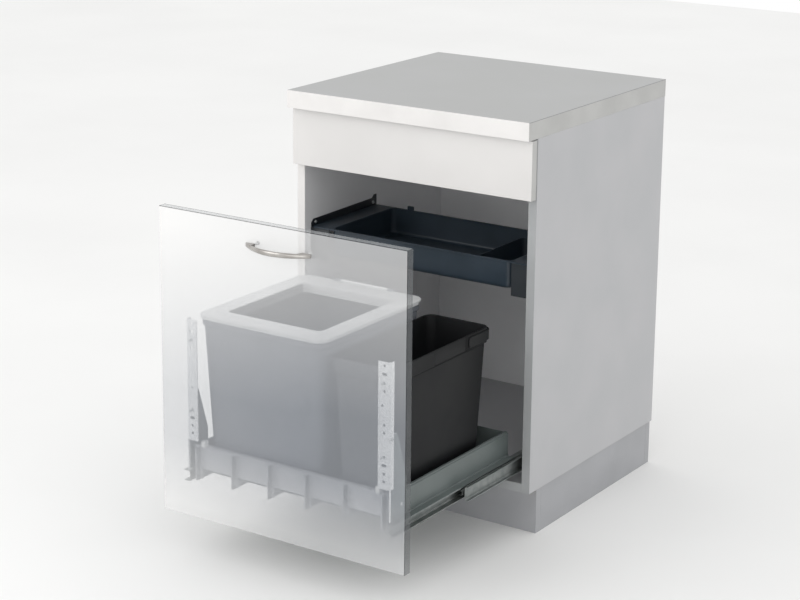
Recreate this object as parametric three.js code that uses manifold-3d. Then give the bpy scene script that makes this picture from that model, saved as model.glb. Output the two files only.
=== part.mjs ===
// Pull-out waste cabinet: a floor-standing kitchen base unit with two bins on a full-extension
// pull-out behind its see-through door, and a sliding utensil tray under the fascia.
// Millimetres, +Z up, +X to the right and +Y to the back when one stands in front of it.
// The origin is on the floor, at the middle of the plinth. The pull-out is modelled open.
import * as THREE from 'three';
import { mergeVertices } from 'three/addons/utils/BufferGeometryUtils.js';
import Module from 'manifold-3d';

// ---------------------------------------------------------------- driving dimensions
// Carcass
const CABINET_WIDTH = 600;
const CARCASS_DEPTH = 560;
const CARCASS_HEIGHT = 762;
const BOARD = 19;                    // coated chipboard
const BACK_BOARD = 8;
const TOP_RAIL_DEPTH = 100;
const WORKTOP_THICKNESS = 38;
const WORKTOP_FRONT_OVERHANG = 38;
const WORKTOP_BACK_OVERHANG = 2;
const WORKTOP_EDGE_RADIUS = 1.5;
// Plinth
const PLINTH_HEIGHT = 100;
const PLINTH_FRONT_SETBACK = 35;
const PLINTH_BACK_INSET = 5;
const PLINTH_SIDE_INSET = 2;
// Fronts
const FRONT_GAP = 3;                 // joint between worktop, fascia and door
const FASCIA_HEIGHT = 124;
const FRONT_SIDE_INSET = 1.5;
const FRONT_THICKNESS = 19;
const DOOR_HEIGHT = 647;
// Pull-out
const TRAVEL = 448;
const BUFFER_GAP = 2;                // closed door to carcass
const FRAME_LENGTH = 430;            // side rails
const FRAME_SETBACK = 19;            // closed: carcass front to the side rails' front ends
const SIDE_RAIL_HEIGHT = 55;
const SIDE_RAIL_LEDGE = 8;
const FRAME_SHEET = 2;
const FRONT_RAIL_THICKNESS = 3;
const FRONT_RAIL_LEDGE = 13;
const FRONT_RAIL_DROP = 3;           // its plate reaches this far below the side rails
const FRONT_LEDGE_PROUD = 3;         // its ledge stands this far in front of its plate
const BACK_RAIL_FOOT = 14;
const RIB_COUNT = 6;
const RIB_END_INSET = 5.5;           // ledge's end to the middle of the outer rib
const RIB_THICKNESS = 2.6;
const RIB_DROP = 18;                 // below the floor plate
const RIB_FOOT = 60;                 // reaches this far back under the floor plate
const RIB_TOE = 4;
const RIB_HEEL_CURVE = 26;           // length of the curve at the back of its foot
const LOCATOR_HEIGHT = 5;
const LOCATOR_WIDTH = 4;
const LOCATOR_GAP = 4;
// Runners, seen in section: distances run from the side panel towards the middle of the cabinet
const RUNNER_LENGTH = 500;
const RUNNER_SETBACK = 20;
const RUNNER_FLOOR_GAP = 20;         // bottom panel to the cabinet member
const RUNNER_HALF_HEIGHT = 22;
const RUNNER_SHEET = 1.5;
const CABINET_MEMBER_DEPTH = 14;
const MIDDLE_OUTER_HALF_HEIGHT = 15.5;
const MIDDLE_NECK_HALF_HEIGHT = 2;
const MIDDLE_INNER_HALF_HEIGHT = 6.2;
const MIDDLE_WEB = 14.5;             // inner face of its outer C
const MIDDLE_OUTER_LIP = 5;
const MIDDLE_INNER_LIP = 27;
const MIDDLE_LENGTH = 470;
const DRAWER_MEMBER_HALF_HEIGHT = 12;
const DRAWER_MEMBER_DEPTH = 16;
const RUNNER_WIDTH = 35;             // side panel to the drawer member's web
const RAIL_STEP = 0.5;               // from that web on to the side rail's face
const CAGE_SHEET = 1.2;
const CAGE_LENGTH = 150;
const CAGE_WEB_GAP = 0.6;
const CAGE_LIP_INSET = 2;
const OUTER_CAGE_START = 10;         // behind the cabinet member's front end
const INNER_CAGE_START = 20;         // behind the middle member's front end
const BALLS_PER_ROW = 3;
const RACE_GAP = 0.3;                // ball to race
// Door fixing
const BRACKET_WIDTH = 28;
const BRACKET_SHEET = 2;
const BRACKET_HEIGHT = 258;
const BRACKET_FLANGE = 12;
const BRACKET_FOOT_GAP = 14;         // front rail's top to the perforated strip
const BRACKET_CORNER = 4;
const BRACKET_HOLES = [16, 32, 115, 131, 199, 250];   // heights above the strip's foot
const BRACKET_OFFSET_HOLE = 170;
const BRACKET_OFFSET = 5;
const BRACKET_SLOTS = [49, 233];
const BRACKET_SCREWS = [66, 215];
const HOLE_RADIUS = 2.3;
const STRIP_HOLE_RADIUS = 3;
const SLOT_LENGTH = 12;
const GUSSET_HEIGHT = 179;
const GUSSET_TOP_DEPTH = 29;
const GUSSET_FOOT_DEPTH = 63;
const GUSSET_HEEL_RISE = 24;         // side rail's top to the slant's lower end
const GUSSET_TAB = 14;               // slant's upper end to the gusset's top
const GUSSET_RIVET_SETBACK = 24;     // side rail's front end to its rivet
const BRACKET_RIVET_DROP = 9;        // gusset's top to the upper rivet
const RIVET_HEAD_RADIUS = 4.2;
const RIVET_HEAD = 1.6;
const CLIP = [10, 13, 13];
const CLIP_GAP = 1;
const SCREW_RADIUS = 2;
const SCREW_HEAD_RADIUS = 3.8;
const SCREW_HEAD = 2.2;
const SCREW_LENGTH = 13;
const SCREW_SINK = 0.5;              // shank inside its head
const OVERCUT = 1;                   // a cutting tool reaches this far past the face
const CLEARANCE = 0.3;
// Handle
const HANDLE_LENGTH = 156;
const HANDLE_PITCH = 128;            // between its two screws
const HANDLE_BOW = 30;
const HANDLE_BOW_POWER = 0.8;        // below 1 the bow rises steeply from its feet
const HANDLE_FOOT = 22;              // length of the solid foot at each end
const HANDLE_END_SCALE = 0.72;       // its section at the ends against the middle
const HANDLE_SCREW_DEPTH = 3;
const HANDLE_DROP = 46;              // door's top edge to the handle
const HANDLE_HALF_WIDTH = 5.5;
const HANDLE_HALF_THICKNESS = 3.2;
// Bins
const BIN_WALL = 2.5;
const BIN_TAPER = 0.048;             // each wall leans in by this much per unit of height
const BIN_CORNER = 26;
const SMALL_BIN_CORNER = 21;
const BIN_CORNER_SHRINK = 0.4;       // loss of corner radius per unit of inset
const BIN_FOOT_RADIUS = 5;
const BIN_FRONT_CLEARANCE = 12;      // floor plate's front edge to the bins' feet
const LARGE_BIN_WIDTH = 310;
const LARGE_BIN_DEPTH = 364;
const LARGE_BIN_HEIGHT = 327;
const LARGE_BIN_BAND = 18;
const SMALL_BIN_CLEARANCE = 1;       // side rail's ledge to the small bin, seen from above
const SMALL_BIN_DEPTH = 356;
const SMALL_BIN_HEIGHT = 300;
const SMALL_BIN_BAND = 32;
const SMALL_BIN_SETBACK = 8;         // large bin's front to the small bin's
const BAND_PROUD = 2.5;
const BIN_GAP = 8;
const BIN_SIDE_CLEARANCE = 4;        // side rail to the clamp frame, seen from above
// Clamp frame
const CLAMP_SHEET = 4;
const CLAMP_OVERHANG = 4;
const CLAMP_SIDE_BORDER = 42;
const CLAMP_END_BORDER = 52;
const CLAMP_LIP = 4;
const CLAMP_SKIRT = 18;
const CLAMP_WALL = 2;
const CLAMP_CORNER = 12;
const CLAMP_RIM_GAP = 0.6;
const CLAMP_HOLE_PITCH = 26;
const CLAMP_HOLE_RADIUS = 2.2;
const HINGE_RADIUS = 4.5;
const HINGE_PIN_RADIUS = 2;
const HINGE_BARREL = 120;
const HINGE_LUG = 14;
const HINGE_END_GAP = 1;             // barrel to lug
// Bail
const BAIL_THICKNESS = 3;
const BAIL_HEIGHT = 22;
const BAIL_GAP = 0.6;                // on each side of the band
const BAIL_SWING_GAP = 1.6;          // behind the band, so that it swings up past the rim
const BAIL_REACH = 78;               // pivot to the bin's back
const BAIL_PIN_RADIUS = 3;
const BAIL_PIVOT_DROP = 15;          // rim to pivot
// Utensil tray
const TRAY_SIDE_ROOM = 52;           // side panel to the tray's body
const TRAY_DEPTH = 240;
const TRAY_HEIGHT = 62;
const TRAY_WALL = 2.5;
const TRAY_CORNER = 16;
const TRAY_BOTTOM_RADIUS = 10;
const TRAY_SETBACK = 22;
const TRAY_FLANGE = 3;
const TRAY_RIM_OVERHANG = 4;
const TRAY_RUNNING_GAP = 2.5;
const TRAY_CEILING_GAP = 145;        // fascia's lower edge to the tray's rim
const INSERT_WIDTH = 96;
const INSERT_DEPTH = 214;
const INSERT_HEIGHT = 46;
const INSERT_WALL = 1.6;
const INSERT_GAP = 3;
const INSERT_CORNER = 11;
const INSERT_LEAN = 1;
const INSERT_FOOT_INSET = 4;
const INSERT_FOOT_RISE = 4;
const TRAY_BRACKET_SHEET = 1.5;
const TRAY_BRACKET_LENGTH = 255;
const TRAY_BRACKET_COVER = 70;
const TRAY_BRACKET_UPSTAND = 18;
const TRAY_BRACKET_TAB = 9;
const TRAY_BRACKET_TAB_LENGTH = 12;
const TRAY_BRACKET_TAB_SLOPE = 6;
const TRAY_BRACKET_CHAMFER = 8;
const TRAY_SCREW_INSET = 16;
// Fineness of curves
const ARC_STEPS = 6;
const BAR_SIDES = 12;
const HUB_SIDES = 20;
const SMALL_HOLE_SIDES = 8;
const BALL_SEGMENTS = 8;
const BALL_RINGS = 4;
const HANDLE_STEPS = 20;
const HANDLE_SIDES = 10;
const TRAY_ARC_STEPS = 3;

// ---------------------------------------------------------------- levels and lines
const HALF_WIDTH = CABINET_WIDTH / 2;
const BAY_HALF = HALF_WIDTH - BOARD;                       // side panel's inner face
const CARCASS_TOP = PLINTH_HEIGHT + CARCASS_HEIGHT;
const BAY_FLOOR = PLINTH_HEIGHT + BOARD;
const BACK_FACE = CARCASS_DEPTH - BACK_BOARD;              // back panel's front face
const FASCIA_BOTTOM = CARCASS_TOP - FRONT_GAP - FASCIA_HEIGHT;
const DOOR_TOP = FASCIA_BOTTOM - FRONT_GAP;
const RUNNER_Z = BAY_FLOOR + RUNNER_FLOOR_GAP + RUNNER_HALF_HEIGHT;
const FRAME_BOTTOM = RUNNER_Z + DRAWER_MEMBER_HALF_HEIGHT;
const FLOOR_TOP = FRAME_BOTTOM + FRAME_SHEET;
const SIDE_RAIL_TOP = FRAME_BOTTOM + SIDE_RAIL_HEIGHT;
const RAIL_OUTER = BAY_HALF - RUNNER_WIDTH - RAIL_STEP;    // side rail's outer face
const RAIL_INNER = RAIL_OUTER - FRAME_SHEET;
const FRAME_BACK = FRAME_SETBACK + FRAME_LENGTH;
const STRIP_FOOT = SIDE_RAIL_TOP + BRACKET_FOOT_GAP;
const DOOR_BACK = -BUFFER_GAP;
const DOOR_FRONT = DOOR_BACK - FRONT_THICKNESS;
const PLINTH_BACK = CARCASS_DEPTH - PLINTH_BACK_INSET;
const PLINTH_MIDDLE = (PLINTH_FRONT_SETBACK + PLINTH_BACK) / 2;

// ---------------------------------------------------------------- materials
const finish = (color, roughness, metalness = 0) =>
  new THREE.MeshStandardMaterial({ color, roughness, metalness });
const board = finish(0xc9c9cb, 0.5);
const fascia = finish(0xe3e2e0, 0.4);
const worktop = finish(0xbcbcbc, 0.4);
const plinthBoard = finish(0xa9a9ab, 0.55);
const acrylic = finish(0xdfe4e6, 0.08);
acrylic.transparent = true;
acrylic.opacity = 0.35;
const nickel = finish(0xb9b6b0, 0.3, 1);
const galvanised = finish(0xc4c6c6, 0.4, 0.9);
const coatedSteel = finish(0x7d8685, 0.45, 0.2);
const lightCoatedSteel = finish(0xdfe1e2, 0.4, 0.2);
const greyMoulding = finish(0xb4b7ba, 0.55);
const lightMoulding = finish(0xd5d6d6, 0.5);
const binGrey = finish(0x62656a, 0.5);
const binBlack = finish(0x2a2b2d, 0.5);
const anthracite = finish(0x2f363d, 0.5);
const whiteNylon = finish(0xf0f0ee, 0.5);

// ---------------------------------------------------------------- joining and cutting
const wasm = await Module();
wasm.setup();

function solid(geometry) {
  const bare = geometry.clone();
  bare.deleteAttribute('normal');
  bare.deleteAttribute('uv');
  const merged = mergeVertices(bare, 1e-4);
  return new wasm.Manifold(new wasm.Mesh({
    numProp: 3,
    vertProperties: new Float32Array(merged.attributes.position.array),
    triVerts: new Uint32Array(merged.index.array),
  }));
}

function surface(manifold) {
  const mesh = manifold.getMesh();
  const geometry = new THREE.BufferGeometry();
  const points = new Float32Array(mesh.vertProperties);
  geometry.setAttribute('position', new THREE.BufferAttribute(points, 3));
  geometry.setIndex(new THREE.BufferAttribute(new Uint32Array(mesh.triVerts), 1));
  geometry.computeVertexNormals();
  return geometry;
}

const join = (...geometries) => surface(geometries.map(solid).reduce((a, b) => a.add(b)));
const cut = (geometry, ...tools) =>
  surface(tools.map(solid).reduce((a, b) => a.subtract(b), solid(geometry)));

// ---------------------------------------------------------------- basic shapes
// A box between two corners, whichever way round they are given.
function box(a, b) {
  const size = a.map((value, i) => Math.abs(b[i] - value));
  const middle = a.map((value, i) => (value + b[i]) / 2);
  return new THREE.BoxGeometry(...size).translate(...middle);
}

const outline = (points) => new THREE.Shape(points.map(([u, v]) => new THREE.Vector2(u, v)));

const pushed = (shape, depth) =>
  new THREE.ExtrudeGeometry(shape, { depth, bevelEnabled: false, curveSegments: ARC_STEPS });

// Outlines pushed along an axis between two values: (y, z) along X, (x, z) along Y, (x, y) along Z.
function alongX(shape, x0, x1) {
  const turn = new THREE.Matrix4().makeBasis(
    new THREE.Vector3(0, 1, 0), new THREE.Vector3(0, 0, 1), new THREE.Vector3(1, 0, 0));
  return pushed(shape, x1 - x0).applyMatrix4(turn).translate(x0, 0, 0);
}

const alongY = (shape, y0, y1) => pushed(shape, y1 - y0).rotateX(Math.PI / 2).translate(0, y1, 0);
const alongZ = (shape, z0, z1) => pushed(shape, z1 - z0).translate(0, 0, z0);

// Round bars along X or Y.
const barX = (radius, x0, x1, y, z, sides = BAR_SIDES) =>
  new THREE.CylinderGeometry(radius, radius, Math.abs(x1 - x0), sides).rotateZ(Math.PI / 2)
    .translate((x0 + x1) / 2, y, z);
const barY = (radius, y0, y1, x, z, sides = BAR_SIDES) =>
  new THREE.CylinderGeometry(radius, radius, Math.abs(y1 - y0), sides).translate(x, (y0 + y1) / 2, z);

// Rounded rectangle about the origin as a list of points, anticlockwise from above.
function roundedRectangle(halfWidth, halfDepth, radius, steps = ARC_STEPS) {
  const points = [];
  const corners = [[1, 1, 0], [-1, 1, 1], [-1, -1, 2], [1, -1, 3]];
  for (const [sx, sy, quarter] of corners) {
    for (let i = 0; i <= steps; i += 1) {
      const angle = (quarter + i / steps) * Math.PI / 2;
      points.push([
        sx * (halfWidth - radius) + radius * Math.cos(angle),
        sy * (halfDepth - radius) + radius * Math.sin(angle),
      ]);
    }
  }
  return points;
}

// A closed skin through rings of equal point counts; the first and last rings are capped.
function loft(rings) {
  const count = rings[0].length;
  const points = rings.flat();
  const triangles = [];
  for (let ring = 0; ring < rings.length - 1; ring += 1) {
    for (let i = 0; i < count; i += 1) {
      const a = ring * count + i;
      const b = ring * count + (i + 1) % count;
      triangles.push(a, b, b + count, a, b + count, a + count);
    }
  }
  const cap = (ring, forwards) => {
    const centre = [0, 1, 2].map((k) => rings[ring].reduce((sum, p) => sum + p[k], 0) / count);
    points.push(centre);
    for (let i = 0; i < count; i += 1) {
      const a = ring * count + i;
      const b = ring * count + (i + 1) % count;
      triangles.push(points.length - 1, forwards ? a : b, forwards ? b : a);
    }
  };
  cap(0, false);
  cap(rings.length - 1, true);
  const geometry = new THREE.BufferGeometry();
  geometry.setAttribute('position', new THREE.BufferAttribute(new Float32Array(points.flat()), 3));
  geometry.setIndex(triangles);
  geometry.computeVertexNormals();
  return geometry;
}

const ringAt = (halfWidth, halfDepth, radius, z) =>
  roundedRectangle(halfWidth, halfDepth, radius).map(([x, y]) => [x, y, z]);

// ---------------------------------------------------------------- the scene graph
const cabinet = new THREE.Group();
const fixed = new THREE.Group();          // carcass frame: X from the middle, Y from the carcass front
fixed.position.y = -PLINTH_MIDDLE;
const pullout = new THREE.Group();        // drawn closed, shown open
pullout.position.y = -TRAVEL;
cabinet.add(fixed);
fixed.add(pullout);

function add(parent, name, geometry, material) {
  const mesh = new THREE.Mesh(geometry, material);
  mesh.name = name;
  parent.add(mesh);
  return mesh;
}

const SIDES = [['left', -1], ['right', 1]];

// ---------------------------------------------------------------- carcass
const TRAY_RIM = FASCIA_BOTTOM - TRAY_CEILING_GAP;
const TRAY_HALF = BAY_HALF - TRAY_SIDE_ROOM;
const LEDGE_TOP = TRAY_RIM - TRAY_FLANGE;
const TRAY_SCREWS = [
  TRAY_SETBACK + TRAY_SCREW_INSET,
  TRAY_SETBACK + TRAY_BRACKET_LENGTH - TRAY_SCREW_INSET,
];
const TRAY_SCREW_Z = LEDGE_TOP + TRAY_BRACKET_UPSTAND / 2;

function carcass() {
  for (const [side, sign] of SIDES) {
    const panel = box(
      [sign * BAY_HALF, 0, PLINTH_HEIGHT], [sign * HALF_WIDTH, CARCASS_DEPTH, CARCASS_TOP]);
    const holeFrom = sign * (BAY_HALF - OVERCUT);
    const holeTo = sign * (BAY_HALF + SCREW_LENGTH);
    const holes = TRAY_SCREWS.map((y) =>
      barX(SCREW_RADIUS + CLEARANCE, holeFrom, holeTo, y, TRAY_SCREW_Z));
    add(fixed, `side_panel_${side}`, cut(panel, ...holes), board);
  }
  add(fixed, 'bottom_panel',
    box([-BAY_HALF, 0, PLINTH_HEIGHT], [BAY_HALF, BACK_FACE, BAY_FLOOR]), board);
  add(fixed, 'back_panel',
    box([-BAY_HALF, BACK_FACE, PLINTH_HEIGHT], [BAY_HALF, CARCASS_DEPTH, CARCASS_TOP]), board);
  const railBottom = CARCASS_TOP - BOARD;
  add(fixed, 'top_rail_front',
    box([-BAY_HALF, 0, railBottom], [BAY_HALF, TOP_RAIL_DEPTH, CARCASS_TOP]), board);
  add(fixed, 'top_rail_back',
    box([-BAY_HALF, BACK_FACE - TOP_RAIL_DEPTH, railBottom], [BAY_HALF, BACK_FACE, CARCASS_TOP]), board);

  const fasciaHalf = HALF_WIDTH - FRONT_SIDE_INSET;
  add(fixed, 'fascia_panel',
    box([-fasciaHalf, -FRONT_THICKNESS, FASCIA_BOTTOM], [fasciaHalf, 0, CARCASS_TOP - FRONT_GAP]), fascia);

  const front = -WORKTOP_FRONT_OVERHANG;
  const back = CARCASS_DEPTH + WORKTOP_BACK_OVERHANG;
  const top = CARCASS_TOP + WORKTOP_THICKNESS;
  const r = WORKTOP_EDGE_RADIUS;
  const section = new THREE.Shape();
  section.moveTo(back, CARCASS_TOP);
  section.lineTo(back, top);
  section.lineTo(front + r, top);
  section.absarc(front + r, top - r, r, Math.PI / 2, Math.PI, false);
  section.absarc(front + r, CARCASS_TOP + r, r, Math.PI, 1.5 * Math.PI, false);
  section.closePath();
  add(fixed, 'worktop', alongX(section, -HALF_WIDTH, HALF_WIDTH), worktop);
}

function plinth() {
  const outer = HALF_WIDTH - PLINTH_SIDE_INSET;
  const inner = outer - BOARD;
  const front = PLINTH_FRONT_SETBACK + BOARD;
  const back = PLINTH_BACK - BOARD;
  const boards = {
    plinth_front: [[-outer, PLINTH_FRONT_SETBACK, 0], [outer, front, PLINTH_HEIGHT]],
    plinth_back: [[-outer, back, 0], [outer, PLINTH_BACK, PLINTH_HEIGHT]],
    plinth_side_left: [[-outer, front, 0], [-inner, back, PLINTH_HEIGHT]],
    plinth_side_right: [[inner, front, 0], [outer, back, PLINTH_HEIGHT]],
    plinth_centre_rail: [
      [-inner, PLINTH_MIDDLE - BOARD / 2, 0], [inner, PLINTH_MIDDLE + BOARD / 2, PLINTH_HEIGHT]],
  };
  for (const [name, corners] of Object.entries(boards)) {
    add(fixed, name, box(...corners), plinthBoard);
  }
}

// ---------------------------------------------------------------- runners
// Sections are drawn as (distance from the side panel, height above the runner's centre line).
const CABINET_RACE = RUNNER_HALF_HEIGHT - RUNNER_SHEET;
const OUTER_BALL = (CABINET_RACE - MIDDLE_OUTER_HALF_HEIGHT) / 2;
const DRAWER_RACE = DRAWER_MEMBER_HALF_HEIGHT - RUNNER_SHEET;
const INNER_BALL = (DRAWER_RACE - MIDDLE_INNER_HALF_HEIGHT) / 2;
const DRAWER_MEMBER_LIP = RUNNER_WIDTH - DRAWER_MEMBER_DEPTH;

// A C section: its back runs at "web" and its flanges reach to "lip".
function channel(web, lip, half, sheet) {
  const inwards = Math.sign(lip - web);
  return [
    [web, -half], [lip, -half], [lip, -half + sheet], [web + inwards * sheet, -half + sheet],
    [web + inwards * sheet, half - sheet], [lip, half - sheet], [lip, half], [web, half],
  ];
}

const runnerOutline = (sign, points) =>
  outline(points.map(([d, h]) => [sign * (BAY_HALF - d), RUNNER_Z + h]));

// One cage with its balls; a race is given by its half height, and its ball row by its distance
// from the side panel.
function ballCage(sign, { web, lip, race, ball, row, front }) {
  const half = race - ball + CAGE_SHEET / 2;
  const section = runnerOutline(sign, channel(web, lip, half, CAGE_SHEET));
  const balls = [];
  for (let i = 0; i < BALLS_PER_ROW; i += 1) {
    const y = front + CAGE_LENGTH * (i + 0.5) / BALLS_PER_ROW;
    for (const up of [-1, 1]) {
      const sphere = new THREE.SphereGeometry(ball - RACE_GAP, BALL_SEGMENTS, BALL_RINGS);
      balls.push(sphere.translate(sign * (BAY_HALF - row), y, RUNNER_Z + up * (race - ball)));
    }
  }
  return join(alongY(section, front, front + CAGE_LENGTH), ...balls);
}

// The middle member: an open C towards the cabinet and a small one towards the drawer member.
function middleSection() {
  const t = RUNNER_SHEET;
  const outer = MIDDLE_OUTER_HALF_HEIGHT;
  const inner = MIDDLE_INNER_HALF_HEIGHT;
  const neck = MIDDLE_NECK_HALF_HEIGHT;
  const neckEnd = DRAWER_MEMBER_LIP + t;
  return [
    [MIDDLE_OUTER_LIP, -outer], [MIDDLE_WEB, -outer], [MIDDLE_WEB, -neck],
    [neckEnd - t, -neck], [neckEnd - t, -inner],
    [MIDDLE_INNER_LIP, -inner], [MIDDLE_INNER_LIP, -inner + t], [neckEnd, -inner + t],
    [neckEnd, inner - t], [MIDDLE_INNER_LIP, inner - t], [MIDDLE_INNER_LIP, inner],
    [neckEnd - t, inner], [neckEnd - t, neck],
    [MIDDLE_WEB, neck], [MIDDLE_WEB, outer], [MIDDLE_OUTER_LIP, outer],
    [MIDDLE_OUTER_LIP, outer - t], [MIDDLE_WEB - t, outer - t],
    [MIDDLE_WEB - t, -outer + t], [MIDDLE_OUTER_LIP, -outer + t],
  ];
}

function runners() {
  const t = RUNNER_SHEET;
  const middleFront = RUNNER_SETBACK - TRAVEL / 2;
  const drawerFront = RUNNER_SETBACK - FRAME_SETBACK;
  const cabinetChannel = channel(0, CABINET_MEMBER_DEPTH, RUNNER_HALF_HEIGHT, t);
  const drawerChannel = channel(RUNNER_WIDTH, DRAWER_MEMBER_LIP, DRAWER_MEMBER_HALF_HEIGHT, t);
  const outerCage = {
    web: t + CAGE_WEB_GAP,
    lip: CABINET_MEMBER_DEPTH - CAGE_LIP_INSET,
    race: CABINET_RACE,
    ball: OUTER_BALL,
    row: (t + CABINET_MEMBER_DEPTH) / 2,
    front: RUNNER_SETBACK + OUTER_CAGE_START,
  };
  const innerCage = {
    web: RUNNER_WIDTH - t - CAGE_WEB_GAP,
    lip: DRAWER_MEMBER_LIP + CAGE_LIP_INSET,
    race: DRAWER_RACE,
    ball: INNER_BALL,
    row: RUNNER_WIDTH - DRAWER_MEMBER_DEPTH / 2,
    front: middleFront + INNER_CAGE_START,
  };
  for (const [side, sign] of SIDES) {
    const cabinetMember = alongY(
      runnerOutline(sign, cabinetChannel), RUNNER_SETBACK, RUNNER_SETBACK + RUNNER_LENGTH);
    const middleMember = alongY(
      runnerOutline(sign, middleSection()), middleFront, middleFront + MIDDLE_LENGTH);
    const drawerMember = alongY(
      runnerOutline(sign, drawerChannel), drawerFront, drawerFront + RUNNER_LENGTH);
    add(fixed, `runner_cabinet_${side}`, cabinetMember, galvanised);
    add(fixed, `runner_middle_${side}`, middleMember, galvanised);
    add(pullout, `runner_drawer_${side}`, drawerMember, galvanised);
    add(fixed, `outer_ball_cage_${side}`, ballCage(sign, outerCage), whiteNylon);
    add(fixed, `inner_ball_cage_${side}`, ballCage(sign, innerCage), whiteNylon);
  }
}

// ---------------------------------------------------------------- pull-out frame
function frame() {
  for (const [side, sign] of SIDES) {
    const sheet = FRAME_SHEET;
    const section = [
      [RAIL_INNER, FRAME_BOTTOM], [BAY_HALF - DRAWER_MEMBER_LIP, FRAME_BOTTOM],
      [BAY_HALF - DRAWER_MEMBER_LIP, FRAME_BOTTOM + sheet], [RAIL_OUTER, FRAME_BOTTOM + sheet],
      [RAIL_OUTER, SIDE_RAIL_TOP], [RAIL_OUTER - SIDE_RAIL_LEDGE, SIDE_RAIL_TOP],
      [RAIL_OUTER - SIDE_RAIL_LEDGE, SIDE_RAIL_TOP - sheet], [RAIL_INNER, SIDE_RAIL_TOP - sheet],
    ];
    const rail = alongY(outline(section.map(([x, z]) => [sign * x, z])), FRAME_SETBACK, FRAME_BACK);
    add(pullout, `side_rail_${side}`, cut(rail, rivetHole(sign, GUSSET_RIVET)), coatedSteel);
  }

  const plateFront = FRAME_SETBACK - FRONT_RAIL_THICKNESS;
  const plate = box(
    [-RAIL_OUTER, plateFront, FRAME_BOTTOM - FRONT_RAIL_DROP],
    [RAIL_OUTER, FRAME_SETBACK, SIDE_RAIL_TOP]);
  const ledgeHalf = RAIL_INNER - SIDE_RAIL_LEDGE;
  const ledgeFront = plateFront - FRONT_LEDGE_PROUD;
  const ledge = box(
    [-ledgeHalf, ledgeFront, SIDE_RAIL_TOP - FRONT_RAIL_THICKNESS],
    [ledgeHalf, ledgeFront + FRONT_RAIL_LEDGE, SIDE_RAIL_TOP]);
  const ribs = [];
  const outerRib = ledgeHalf - RIB_END_INSET;
  for (let i = 0; i < RIB_COUNT; i += 1) {
    const x = outerRib * (2 * i / (RIB_COUNT - 1) - 1);
    ribs.push(alongX(ribOutline(plateFront), x - RIB_THICKNESS / 2, x + RIB_THICKNESS / 2));
  }
  add(pullout, 'front_rail', join(plate, ledge, ...ribs), greyMoulding);

  const backWeb = box(
    [-RAIL_INNER, FRAME_BACK - FRAME_SHEET, FLOOR_TOP],
    [RAIL_INNER, FRAME_BACK, SIDE_RAIL_TOP - FRAME_SHEET]);
  const backFoot = box(
    [-RAIL_INNER, FRAME_BACK - BACK_RAIL_FOOT, FLOOR_TOP],
    [RAIL_INNER, FRAME_BACK, FLOOR_TOP + FRAME_SHEET]);
  add(pullout, 'back_rail', join(backWeb, backFoot), coatedSteel);

  const floorPlate = box(
    [-RAIL_INNER, FRAME_SETBACK, FRAME_BOTTOM], [RAIL_INNER, FRAME_BACK, FLOOR_TOP]);
  add(pullout, 'floor_plate', join(floorPlate, ...locators()), coatedSteel);
}

// Side view of one rib: straight front edge, rounded toe, and a level foot under the floor plate
// that curves up to it at the back.
function ribOutline(plateFront) {
  const root = (plateFront + FRAME_SETBACK) / 2;
  const bottom = FRAME_BOTTOM - RIB_DROP;
  const heel = FRAME_SETBACK + RIB_FOOT;
  const shape = new THREE.Shape();
  shape.moveTo(root, SIDE_RAIL_TOP - FRONT_RAIL_THICKNESS / 2);
  shape.lineTo(0, SIDE_RAIL_TOP - FRONT_RAIL_THICKNESS);
  shape.lineTo(0, bottom + RIB_TOE);
  shape.absarc(RIB_TOE, bottom + RIB_TOE, RIB_TOE, Math.PI, 1.5 * Math.PI, false);
  shape.lineTo(heel - RIB_HEEL_CURVE, bottom);
  shape.quadraticCurveTo(heel - RIB_HEEL_CURVE / 2, bottom, heel, FRAME_BOTTOM);
  shape.lineTo(root, FRAME_BOTTOM);
  shape.closePath();
  return shape;
}

// Low ridges on the floor plate that keep the bins' feet in place.
function locators() {
  const low = FLOOR_TOP - FRAME_SHEET / 2;
  const high = FLOOR_TOP + LOCATOR_HEIGHT;
  const ridges = [];
  for (const bin of [LARGE_BIN, SMALL_BIN]) {
    const reach = bin.footHalfWidth - bin.corner;
    const back = bin.y + bin.footHalfDepth + LOCATOR_GAP;
    const front = bin.y - bin.footHalfDepth - LOCATOR_GAP;
    ridges.push(box([bin.x - reach, back, low], [bin.x + reach, back + LOCATOR_WIDTH, high]));
    ridges.push(box([bin.x - reach, front - LOCATOR_WIDTH, low], [bin.x + reach, front, high]));
  }
  return ridges;
}

// ---------------------------------------------------------------- door, its fixing and handle
const GUSSET_INNER = RAIL_OUTER;
const FLANGE_INNER = GUSSET_INNER + BRACKET_SHEET;
const FLANGE_OUTER = FLANGE_INNER + BRACKET_SHEET;
const GUSSET_BOTTOM = FRAME_BOTTOM + FRAME_SHEET;
const GUSSET_TOP = GUSSET_BOTTOM + GUSSET_HEIGHT;
const GUSSET_RIVET = [FRAME_SETBACK + GUSSET_RIVET_SETBACK, (FRAME_BOTTOM + SIDE_RAIL_TOP) / 2];
const BRACKET_RIVET = [BRACKET_FLANGE / 2, GUSSET_TOP - BRACKET_RIVET_DROP];
const STRIP_INNER = FLANGE_OUTER - BRACKET_WIDTH;
const STRIP_MIDDLE = FLANGE_OUTER - BRACKET_WIDTH / 2;
const STRIP_TOP = STRIP_FOOT + BRACKET_HEIGHT;
const STRIP_BACK = DOOR_BACK + BRACKET_SHEET;
const HANDLE_Z = DOOR_TOP - HANDLE_DROP;

function rivetHole(sign, [y, z]) {
  return barX(HOLE_RADIUS, sign * (RAIL_INNER - OVERCUT), sign * (FLANGE_OUTER + OVERCUT), y, z);
}

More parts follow.
